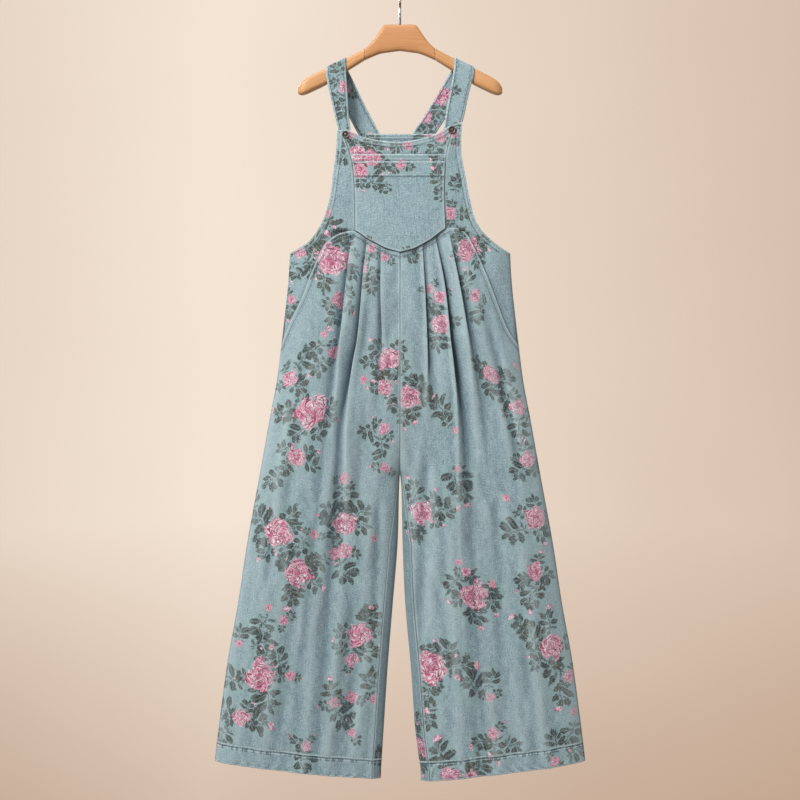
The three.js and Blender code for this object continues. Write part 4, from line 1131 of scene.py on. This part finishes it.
def bib_bottom(share):
    side = LEFT if share < 0 else RIGHT
    out = abs(share) * PRINCESS.curve(side, BIB_CORNER_DROP)
    return float(PANEL_TOP.curve(side, out)) - 2 * HALF_SEAM_GAP


def bib_grid(top_drop, count, raised):
    """Rows of the bib: they meet the seams at their levels and sag towards the centre."""
    shares = np.sin(np.linspace(-math.pi / 2, math.pi / 2, 73))
    shares[36] = 0.0
    outline = np.array([top_drop(share) for share in shares])
    bottom = np.array([bib_bottom(share) for share in shares])
    drops = outline + (bottom - outline) * np.linspace(0, 1, count)[:, None]
    reach = np.where(shares < 0, PRINCESS.curve(LEFT, drops), PRINCESS.curve(RIGHT, drops))
    x = shares * (reach - HALF_SEAM_GAP)
    return bib_surface(raised(drops) if callable(raised) else raised, x, drops), x, drops


def pocket_band(drops):
    """The outer pocket is turned over at its top: two more layers, down to the band's edge."""
    doubled = 1 - smooth((drops - POCKET_BAND_DROP + 0.0006) / 0.0012)
    return 2 * (POCKET_WALL + LAYER_GAP) + BAND_RISE * doubled


def back_bodice_grid():
    levels = np.linspace(BACK_TOP_DROP, UNDERARM_DROP, 96)[:, None]
    x = BACK_ARMHOLE.curve("out", levels) * np.cos(np.linspace(0, math.pi, 84))
    return back_surface(x, levels + 0 * x), x


def hanger_section(out, angle, grow):
    """Outline of the hanger at one place along it, grown where a strap lies over it."""
    top, bottom, half = (HANGER.curve(name, out) for name in ("top", "bottom", "half"))
    tall = (bottom - top) / 2 + grow
    cosine, sine = np.cos(angle), np.sin(angle)
    y = -(half + grow) * np.sign(cosine) * np.abs(cosine) ** HANGER_ROUNDING
    z = -(top + bottom) / 2 + tall * np.sign(sine) * np.abs(sine) ** HANGER_ROUNDING
    return point(1, out, y, -z)


def strap_grid(side):
    """Rows across a strap: up the front, over the hanger and down to the back bodice."""
    table = STRAP_FRONT[side]
    at = np.linspace(0, table.keys[-1], 41)
    hidden = CLOTH_WALL + 2 * LAYER_GAP + 0.0006
    front = []
    for edge in ("inner", "outer"):
        out, drop = table.curve(edge + "_out", at), table.curve(edge + "_drop", at)
        front.append(point(1, out, hidden - cloth_depth(side, out, np.maximum(drop, 0.262)), drop))
    angles = np.radians(np.linspace(0, 180, 33))
    over = [hanger_section(out, angles, STRAP_WALL + 0.0005) for out in STRAP_OVER_OUTS]
    start = (over[0][-1] + over[1][-1]) / 2
    end_out, end_drop = STRAP_BACK_ENDS[side]
    end_depth = float(cloth_depth(side, end_out, end_drop)) + LAYER_GAP + 0.0003 + STRAP_WALL
    along = unit(np.array([end_out - start[0], 0, -end_drop - start[2]]))
    across = np.array([-along[2], 0, along[0]]) * STRAP_WIDTH / 2
    share = np.linspace(0, 1, 46)[1:, None]
    middle = start + (np.array([end_out, end_depth, -end_drop]) - start) * share
    middle[:, 1:2] = start[1] + (end_depth - start[1]) * smooth(share / 0.8)
    turn = smooth(share * 1.6)
    half = (over[1][-1] - over[0][-1]) / 2 * (1 - turn) + across * turn
    half[:, 1] = 0
    inner = np.concatenate([front[0], over[0], middle - half]) * (side, 1, 1)
    outer = np.concatenate([front[1], over[1], middle + half]) * (side, 1, 1)
    return inner[:, None] + (outer - inner)[:, None] * np.linspace(0, 1, 13)[None, :, None]


# Distances along the cloth, for the weave, the worn seams, the painted shade and the print


def along_rows(grid):
    steps = np.linalg.norm(np.diff(grid, axis=1), axis=2)
    return np.concatenate([np.zeros((len(grid), 1)), np.cumsum(steps, axis=1)], axis=1)


def distance_to(grid, borders):
    """Distance of every grid point to the nearest of some borders of the grid."""
    lines = {"top": grid[0], "bottom": grid[-1], "first": grid[:, 0], "last": grid[:, -1]}
    points = []
    for line in (lines[border] for border in borders.split()):
        points += [line[:-1] + (line[1:] - line[:-1]) * share for share in (0.0, 0.2, 0.4, 0.6, 0.8)]
        points.append(line[-1:])
    points = np.concatenate(points)
    tree = KDTree(len(points))
    for index, place in enumerate(points):
        tree.insert(place, index)
    tree.balance()
    return np.array([tree.find(place)[2] for place in grid.reshape(-1, 3)])


def ridges(grid, facing):
    """How far each point stands proud of the cloth 8 mm to either side, from -1 to 1. The material paints the
    cloth paler where it stands proud, partly wear and partly painted highlight, and darker where it lies
    sunk, painted shade.
    """
    proud = np.zeros(grid.shape[:2])
    for i, (length, depth) in enumerate(zip(along_rows(grid), facing * grid[:, :, 1])):
        ahead, behind = (np.interp(length + step, length, depth) for step in (0.008, -0.008))
        proud[i] = depth - (ahead + behind) / 2
    return np.clip(proud / 0.0011, -1, 1)


def dress(obj, grid, across, sewn, free, layers, tone, shade=0.0, edge_row=None, seam_row=None, worn=0.0):
    """Give a panel its cloth coordinates, its distances to seams and edges, its painted shade, its ridges and
    its print.

    edge_row and seam_row are the distances of a stitched row from a free edge and from the top seam."""
    points = grid.reshape(-1, 3)
    places = path(points[:, 0], -points[:, 2])
    cloth = path(across.ravel(), -points[:, 2])
    far = np.full(len(points), 0.2)
    seam = distance_to(grid, sewn) if sewn else far
    edge = distance_to(grid, free)
    from_edge_row = far if edge_row is None else edge - np.ravel(edge_row)
    from_seam_row = distance_to(grid, "top") - seam_row if seam_row else far
    # shade is painted shade; worn carries the ridges, painted paler on ridges, partly wear and partly painted
    # highlight, and darker in troughs, painted shade.
    shade, worn = (np.broadcast_to(values, grid.shape[:2]).ravel() for values in (shade, worn))
    columns = {
        "cloth": (*cloth.T, tone),
        "edges": (seam, edge, shade),
        "rows": (from_edge_row, from_seam_row, worn),
    }
    for name, values in columns.items():
        store(obj, name, np.tile(np.stack(np.broadcast_arrays(*values), axis=-1), (2, 1)))
    apply_print(obj, np.tile(places, (2, 1)), np.tile(cloth, (2, 1)), layers)


# Stitches: short raised threads in rows

STITCH_LENGTH = 0.0027
STITCH_PITCH = 0.0037
STITCH_WIDTH = 0.00085


def surface_line(surface, line):
    """Points and outward normals along a path on a panel, given as (out, drop)."""
    step = 0.0005
    outs, drops = line.T
    here = surface(outs, drops)
    sideways = surface(outs + step, drops) - surface(outs - step, drops)
    downward = surface(outs, drops + step) - surface(outs, drops - step)
    normals = unit(np.cross(downward, sideways))
    if normals[:, 1].mean() * here[:, 1].mean() < 0:
        normals = -normals
    return here, normals


def beside(line, distance):
    """Path set off sideways from another by a distance, as (out, drop)."""
    direction = unit(np.gradient(line, axis=0))
    return line + distance * path(-direction[:, 1], direction[:, 0])


def running_length(points):
    return np.concatenate([[0], np.cumsum(np.linalg.norm(np.diff(points, axis=0), axis=1))])


def resampled(points, normals):
    """Middles of the stitches along a line, their normals and their directions."""
    length = running_length(points)
    at = np.arange(STITCH_PITCH / 2, length[-1], STITCH_PITCH)

    def found(values, places):
        return np.stack([np.interp(places, length, values[:, k]) for k in range(3)], axis=-1)

    direction = found(points, at + 0.0006) - found(points, at - 0.0006)
    return found(points, at), unit(found(normals, at)), unit(direction)


def stitches(name, lines, material):
    """One mesh of raised stitches along several (points, normals) lines."""
    ring = [(math.cos(a), math.sin(a)) for a in np.radians([0, 45, 90, 135, 180])]
    stations = [(-0.5, 0.25), (-0.40, 0.85), (0.0, 1.0), (0.40, 0.85), (0.5, 0.25)]
    template = np.array([(along * STITCH_LENGTH, size * c * STITCH_WIDTH / 2, size * s * STITCH_WIDTH * 0.55)
                         for along, size in stations for c, s in ring])
    corners = np.arange(len(template)).reshape(len(stations), len(ring))
    a, b, c, d = corners[:-1, :-1], corners[:-1, 1:], corners[1:, 1:], corners[1:, :-1]
    cells = np.stack([a, b, c, d], axis=-1).reshape(-1, 4)
    vertices, faces, count = [], [], 0
    for points, normals in lines:
        spots, facing, along = resampled(points, normals)
        across = unit(np.cross(facing, along))
        shape = (spots[:, None] + along[:, None] * template[:, 0:1] + across[:, None] * template[:, 1:2]
                 + facing[:, None] * template[:, 2:3])
        vertices.append(shape.reshape(-1, 3))
        offsets = count + np.arange(len(spots)) * len(template)
        faces.append((cells[None] + offsets[:, None, None]).reshape(-1, 4))
        count += len(spots) * len(template)
    made = new_object(name, np.concatenate(vertices), np.concatenate(faces).tolist(), [material])
    attach(made)
    return made


def attach(piece, node=None):
    if node:
        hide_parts(node)
    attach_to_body(piece, "root")


def finish_panel(piece, node, rows, thread):
    """Stitch a panel along its rows, hide the part of model.glb that it stands for, and hang it from the root
    body.
    """
    attach(piece, node)
    threads = stitches(piece.name.replace("cloth", "stitches"), rows, thread)


# Hanger, hook and buttons


def tube_mesh(name, rings, materials, closed_ends=True):
    """Skin over rings of points, with a face at each end."""
    count = len(rings[0])
    faces = []
    for first in range(0, (len(rings) - 1) * count, count):
        second = first + count
        for k in range(count):
            following = (k + 1) % count
            faces.append((first + k, first + following, second + following, second + k))
    if closed_ends:
        last = (len(rings) - 1) * count
        faces.append(tuple(range(count - 1, -1, -1)))
        faces.append(tuple(range(last, last + count)))
    return new_object(name, np.concatenate(rings), faces, materials)


def turn_outward(piece):
    work = bmesh.new()
    work.from_mesh(piece.data)
    bmesh.ops.recalc_face_normals(work, faces=work.faces)
    work.to_mesh(piece.data)
    work.free()


def wood_rings(places, round_ends):
    """Sections of the hanger; the edge of each cut end is a little rounded."""
    angles = full_turn(72)
    rings = []
    for place in places:
        ring = hanger_section(abs(place), angles, 0.0)
        ring[:, 0] = place
        rings.append(ring)
    for index, inward in round_ends:
        centre = rings[index].mean(axis=0)
        rounded = []
        for back, share in ((0.0012, 1.0), (0.0004, 0.965), (0.0, 0.90)):
            ring = centre + (rings[index] - centre) * (1, share, share)
            ring[:, 0] = places[index] + inward * back
            rounded.append(ring)
        rings = rings[:-1] + rounded if index else rounded[::-1] + rings[1:]
    return rings


def make_wood(name, node, rings, material):
    piece = tube_mesh(name, rings, [material])
    turn_outward(piece)
    attach(piece, node)


def make_hanger(centre_wood, arm_wood):
    places = np.linspace(-0.0679, 0.0679, 91)
    make_wood("hanger_yoke", "hanger_centre", wood_rings(places, [(0, 1), (-1, -1)]), centre_wood)
    outs = [np.linspace(ARM_JOINT_OUT + 0.0002, 0.182, 70), np.linspace(0.183, ARM_TIP_OUT, 22)]
    rings = wood_rings(np.concatenate(outs), [(0, 1)])
    tip = rings[-1]
    middle = tip.mean(axis=0)
    for share, beyond in ((0.93, 0.0005), (0.80, 0.0010), (0.55, 0.0014), (0.25, 0.0016)):
        ring = middle + (tip - middle) * share
        ring[:, 0] = ARM_TIP_OUT + beyond
        rings.append(ring)
    for side, name in SIDES.items():
        turned = [ring * (side, 1, 1) for ring in rings[::side]]
        make_wood(f"hanger_arm_wood_{name}", f"hanger_arm_{name}", turned, arm_wood)


def make_hook(material):
    """Wire hook across the hanger: a stem that bends into the ring, with a domed end."""
    ring_radius = HOOK_INNER_RADIUS + WIRE_RADIUS
    points = [(0, 0, -0.0607), (0, 0, -0.0570), (0, 0.0006, -0.0530), (0, 0.0034, -0.0492),
              (0, 0.0090, -0.0455)]
    for angle in np.radians(range(-28, 189, 9)):
        high = -HOOK_INNER_RADIUS + ring_radius * math.sin(angle)
        points.append((0, ring_radius * math.cos(angle), high))
    points = np.array(points)
    wire = Table("at x y z", 1000 * np.column_stack([running_length(points), points]))
    at = np.linspace(0, wire.keys[-1], 260)
    line = np.stack([wire.curve(axis, at) for axis in "xyz"], axis=-1)
    sideways = np.array([1.0, 0, 0])
    angles = full_turn(28)[:, None]
    sizes = np.ones(len(at))
    sizes[-6:] = np.sqrt(1 - np.linspace(0, 0.96, 6) ** 2)
    rings = []
    for place, direction, size in zip(line, unit(np.gradient(line, axis=0)), sizes):
        upward = np.cross(direction, sideways)
        rings.append(place + WIRE_RADIUS * size * (np.cos(angles) * sideways + np.sin(angles) * upward))
    hook = tube_mesh("hook_wire", rings, [material])
    turn_outward(hook)
    attach(hook, "hanger_hook")


# Radius, height and how far it stands proud, from the button's middle to its foot
BUTTON_PROFILE = [
    (0.0008, 0.00308, 1), (0.0016, 0.00300, 1), (0.0023, 0.00282, 0.6), (0.0028, 0.00262, 0),
    (0.0034, 0.00258, 0), (0.0042, 0.00262, 0.1), (0.0048, 0.00272, 0.4), (0.0053, 0.00305, 0.9),
    (0.0058, 0.00334, 1), (0.0063, 0.00340, 1), (0.0067, 0.00322, 0.8), (0.0070, 0.00280, 0.4),
    (0.0070, 0.00210, 0.1), (0.0068, 0.00160, 0), (0.0056, 0.00120, 0), (0.0054, 0.0, 0),
]


def make_button(side, metal):
    """Jeans button: a rolled rim, a sunken ring with fine rays and a domed middle."""
    out, drop = BUTTONS[side]
    stand = float(cloth_depth(side, out, drop)) + 0.0006
    angles = full_turn(72)
    rings = []
    for radius, height, _ in BUTTON_PROFILE:
        lift = height + 0.00012 * np.cos(18 * angles) * (0.0028 < radius < 0.0050)
        x = side * out + radius * np.cos(angles)
        rings.append(point(1, x, -stand - lift, drop - radius * np.sin(angles)))
    button = tube_mesh(f"button_metal_{SIDES[side]}", rings, [metal])
    proud = np.repeat([row[2] for row in BUTTON_PROFILE], len(angles))
    store(button, "relief", np.stack([proud, proud, proud], axis=-1))
    turn_outward(button)
    attach(button, f"button_{SIDES[side]}")


# The whole garment

# Distances of the hem's stitching from the hem, and of a row of stitching from a leg panel's top
HEM_ROW = 0.0345
TOP_ROW = 0.0086


def beyond_pocket_edge(side, outs, drops):
    """Shade on the cloth just beyond the edge of a hip pocket, which lies on it."""
    seam = PANEL_TOP.curve(side, outs)
    slope = (PANEL_TOP.curve(side, outs + 0.001) - seam) / 0.001
    distance = np.maximum(seam - drops, 0) / np.hypot(slope, 1)
    return 0.85 * np.exp(-distance / 0.0022) * (outs > 0.0875)


def above_line(line, drops):
    """Shade on the cloth just above an edge that lies on it."""
    return 0.8 * np.exp(-np.maximum(line - drops, 0) / 0.0016)


# Painted shade on the cloth just below an edge that lies over it.
def below_line(line, drops):
    return 0.8 * np.exp(-np.maximum(drops - line, 0) / 0.0014) * (drops > line - 0.0005)


def hem_path(side, from_inner):
    """The row of stitches that holds the turned hem."""
    outs = np.linspace(float(inner_edge(side, 1.45)) + from_inner, float(outer_edge(1.45)) - 0.001, 300)
    return path(outs, hem_drop(side, outs) - HEM_HEIGHT + 0.0042)


def make_leg_front(side, cloth, thread, layers):
    name = SIDES[side]
    grid, outs, drops = leg_front_grid(side)
    piece = shell(f"leg_front_cloth_{name}", grid, CLOTH_WALL, side == LEFT, "zzxy", cloth)
    shade = pleat_relief(side, outs, drops)[2] * relief_share(side, outs, drops)
    across = side * (outs[:, :1] + along_rows(grid))
    dress(piece, grid, across, "top first last", "bottom", layers, side * 1.7, shade, HEM_ROW, TOP_ROW,
          ridges(grid, -1))
    seam_outs = np.linspace(0.002, 0.0865, 120)
    pocket_outs = np.concatenate([np.linspace(0.090, 0.205, 100), np.linspace(0.206, 0.229, 40)])
    seam, pocket = (path(line, PANEL_TOP.curve(side, line)) for line in (seam_outs, pocket_outs))
    lines = [beside(seam, 0.0028), beside(pocket, 0.0030), beside(pocket, 0.0090), hem_path(side, 0.019)]
    if side == RIGHT:
        lines.append(path(0.0045, np.linspace(0.512, 0.926, 300)))
    inseam = np.linspace(0.960, 1.440, 300)
    lines.append(path(inner_edge(side, inseam) + inseam_width(inseam) + 0.004, inseam))
    rows = [surface_line(partial(leg_front_surface, side), line) for line in lines]
    finish_panel(piece, f"leg_front_{name}",
                 rows, thread)


def make_leg_back(side, cloth, thread, layers):
    name = SIDES[side]
    grid, fold = leg_back_grid(side)
    piece = shell(f"leg_back_cloth_{name}", grid, CLOTH_WALL, side == LEFT, "zzyx", cloth)
    lengths = along_rows(grid)
    across = side * (np.abs(grid[:, fold : fold + 1, 0]) + lengths[:, fold : fold + 1] - lengths)
    dress(piece, grid, across, "top first last", "bottom", layers, side * 2.9, 0.0, HEM_ROW, TOP_ROW,
          ridges(grid, 1))
    lines = [path(np.linspace(0.004, 0.208, 200), UNDERARM_DROP + below) for below in (0.003, 0.009)]
    if side == RIGHT:
        lines += [path(out, np.linspace(0.516, 0.922, 300)) for out in (0.0065, 0.0125)]
    lines.append(hem_path(side, 0.003))
    rows = [surface_line(partial(leg_back_surface, side), line) for line in lines]
    finish_panel(piece, f"leg_back_{name}", rows, thread)


def make_side_front(side, cloth, thread, layers):
    name = SIDES[side]
    grid, outs, drops = side_front_grid(side)
    piece = shell(f"side_front_cloth_{name}", grid, CLOTH_WALL, side == LEFT, "zzxy", cloth)
    dress(piece, grid, side * (outs[:, :1] + along_rows(grid)), "first", "top last", layers, side * 4.3,
          beyond_pocket_edge(side, outs, drops), np.where(drops < UNDERARM_DROP, 0.0100, -0.2))
    levels = np.linspace(0.272, 0.5035, 260)
    armhole = path(ARMHOLE.curve(side, levels), levels)
    levels = np.linspace(0.276, 0.455, 160)
    princess = path(PRINCESS.curve(side, levels), levels)
    neck_outs = np.linspace(0.104, 0.117, 20)
    neck = path(neck_outs, neck_at(side, neck_outs))
    sides = ((armhole, 0.0028), (armhole, 0.0092), (princess, -0.0032), (neck, 0.0028))
    rows = [surface_line(partial(side_front_surface, side), beside(*line)) for line in sides]
    finish_panel(piece, f"side_front_{name}", rows, thread)


def make_bib(cloth, thread, layers):
    """The centre panel and the two layers of its pocket."""
    under = POCKET_WALL + LAYER_GAP
    doubled = 2 * under + BAND_RISE
    neck_x = np.linspace(-0.100, 0.096, 160)
    neck = path(neck_x, NECKLINE.curve("drop", neck_x))
    across = np.linspace(-0.087, 0.083, 140)
    neck_lines = [(0.0, beside(neck, distance)) for distance in (0.0028, 0.0088)]
    inner_lines = [(under, path(across, INNER_POCKET_TOP_DROP + below)) for below in (0.003, 0.009)]
    outer_lines = [
        (doubled, path(across * 0.985, POCKET_TOP_DROP + 0.003)),
        (doubled, path(across * 0.985, POCKET_BAND_DROP - 0.003)),
        (2 * under, path(np.linspace(-0.043, 0.037, 80), 0.471)),
        (doubled, path(0.021, np.linspace(0.333, 0.355, 20))),
    ]
    for side in (LEFT, RIGHT):
        levels = np.linspace(0.334, 0.458, 100)
        outs = np.linspace(0.004, 0.084, 100)
        edge = side * (PRINCESS.curve(side, levels) - 0.0035)
        outer_lines.append((pocket_band(levels), path(edge, levels)))
        outer_lines.append((2 * under, path(side * outs, PANEL_TOP.curve(side, outs) - 0.0034)))

    def make_layer(name, node, wall, grid, tone, shade, row, lines):
        points, x, drops = grid
        piece = shell(name, points, wall, False, "zzxx", cloth)
        dress(piece, points, x, "first last bottom", "top", layers, tone, shade(drops), row)
        rows = [surface_line(partial(bib_surface, raised), line) for raised, line in lines]
        finish_panel(piece, node, rows, thread)

    make_layer("bib_cloth", "bib_centre", CLOTH_WALL, bib_grid(bib_top, 90, 0.0), 0.6,
               partial(above_line, INNER_POCKET_TOP_DROP), 0.0096, neck_lines)
    make_layer("pocket_inner_cloth", "bib_pocket_inner", POCKET_WALL,
               bib_grid(lambda share: INNER_POCKET_TOP_DROP, 70, under), 1.6,
               partial(above_line, POCKET_TOP_DROP), None, inner_lines)
    make_layer("pocket_outer_cloth", "bib_pocket_outer", POCKET_WALL,
               bib_grid(lambda share: POCKET_TOP_DROP, 150, pocket_band), 2.6,
               partial(below_line, POCKET_BAND_DROP + 0.0004), None, outer_lines)


def make_back_bodice(cloth, thread, layers):
    grid, x = back_bodice_grid()
    piece = shell("back_bodice_cloth", grid, CLOTH_WALL, False, "zz", cloth[:1])
    dress(piece, grid, x, "bottom", "top first last", layers, 8.2, 0.0, 0.0100)
    levels = np.linspace(0.272, 0.503, 240)
    armhole = path(BACK_ARMHOLE.curve("out", levels), levels)
    lines = [beside(armhole, inside) * (side, 1) for side in (LEFT, RIGHT) for inside in (0.0028, 0.0092)]
    lines += [path(np.linspace(-0.062, 0.062, 100), BACK_TOP_DROP + below) for below in (0.003, 0.009, 0.034)]
    rows = [surface_line(back_surface, line) for line in lines]
    finish_panel(piece, "back_bodice",
                 rows, thread)


def make_strap(side, cloth, thread, layers):
    name = SIDES[side]
    grid = strap_grid(side)
    piece = shell(f"strap_cloth_{name}", grid, STRAP_WALL, side == RIGHT, "", cloth[:1])
    dress(piece, grid, grid[:, :, 0], "", "first last", layers, side * 6.1, 0.0, 0.0046)
    normals = grid_normals(grid, side == RIGHT, "")
    rows = []
    for share in (0.085, 0.915):
        low, part = divmod(share * (grid.shape[1] - 1), 1)
        low = int(low)
        line, facing = (values[:, low] * (1 - part) + values[:, low + 1] * part for values in (grid, normals))
        rows.append((line[3:-1], unit(facing)[3:-1]))
    finish_panel(piece, f"strap_{name}", rows, thread)


def make_garment():
    thread = new_material("stitching_thread", stitching_thread)
    cloth = [new_material("printed_denim", printed_denim), new_material("denim_wrong_side", denim_wrong_side)]
    metal = new_material("button_antique_metal", antique_metal)
    front = motif_layers(ROSES, LEAVES, 5)
    back = motif_layers(*back_bouquets(31), 6)
    for side in (LEFT, RIGHT):
        make_strap(side, cloth, thread, front)
        make_side_front(side, cloth, thread, front)
        make_leg_front(side, cloth, thread, front)
        make_leg_back(side, cloth, thread, back)
    make_bib(cloth, thread, front)
    make_back_bodice(cloth, thread, back)
    for side in (LEFT, RIGHT):
        make_button(side, metal)


# Studio

LAMP_COLOUR = (1.0, 0.985, 0.965)


def make_studio():
    """Pale floor that curves up all round into a wall, far enough behind every view."""
    floor = -3.7
    profile = [(0.001, floor), (2.0, floor), (3.6, floor)]
    for angle in np.radians(range(0, 91, 6)):
        profile.append((4.2 + 1.8 * math.sin(angle), floor + 1.8 - 1.8 * math.cos(angle)))
    profile += [(6.0, 0.0), (6.0, 1.4), (6.0, 2.7)]
    angles = full_turn(96)
    rings = [point(1, r * np.cos(angles), r * np.sin(angles), -z) for r, z in profile]
    wall = tube_mesh("studio", rings, [new_material("studio_paper", paper)], closed_ends=False)
    wall.visible_shadow = False
    wall.visible_diffuse = False


def add_light(name, kind, energy, place, target, **settings):
    data = bpy.data.lights.new(name, kind)
    data.energy = energy
    data.color = LAMP_COLOUR
    for key, value in settings.items():
        setattr(data, key, value)
    light = bpy.data.objects.new(name, data)
    light.location = place
    light.rotation_euler = (Vector(target) - Vector(place)).to_track_quat("-Z", "Y").to_euler()
    light.visible_camera = kind == "SUN"
    bpy.context.scene.collection.objects.link(light)


def make_lights():
    """Soft sun from the upper left, two soft lamps, and one for the views from behind."""
    add_light("key", "SUN", 1.42, (0, 0, 0), (0.47, 0.75, -0.46), angle=math.radians(11))
    add_light("upper_left", "AREA", 41, (-1.6, -1.65, 1.15), (0, 0, -0.5), shape="DISK", size=0.8)
    add_light("overhead", "AREA", 26, (-0.3, -1.1, 2.2), (0, 0, -0.6), shape="DISK", size=1.6)
    add_light("behind", "AREA", 80, (-1.4, 3.0, 0.8), (0, 0, -0.75), shape="DISK", size=1.2)
    world = bpy.data.worlds.new("studio_air")
    world.use_nodes = True
    background = world.node_tree.nodes["Background"]
    background.inputs["Color"].default_value = (*LAMP_COLOUR, 1.0)
    background.inputs["Strength"].default_value = 0.31
    bpy.context.scene.world = world
    bpy.context.scene.view_settings.view_transform = "Standard"


def make_camera():
    slope = math.tan(math.radians(HALF_VIEW_DEGREES))
    data = bpy.data.cameras.new("camera")
    data.sensor_width = 36.0
    data.lens = 18.0 / slope
    data.clip_end = 40.0
    camera = bpy.data.objects.new("camera", data)
    camera.location = (0, -PHOTO_WIDTH_AT_GARMENT / 2 / slope, CAMERA_HEIGHT)
    camera.rotation_euler = (math.pi / 2, 0, 0)
    bpy.context.scene.collection.objects.link(camera)
    bpy.context.scene.camera = camera


make_camera()
make_studio()
make_lights()
make_hanger(
    new_material("wood_yoke", wood, 0.06, linear(202, 144, 92), linear(197, 137, 86), linear(185, 124, 75)),
    new_material("wood_arm", wood, 0.53, linear(217, 164, 109), linear(206, 150, 97), linear(181, 123, 75)),
)
make_hook(new_material("hook_chrome", chrome))
make_garment()
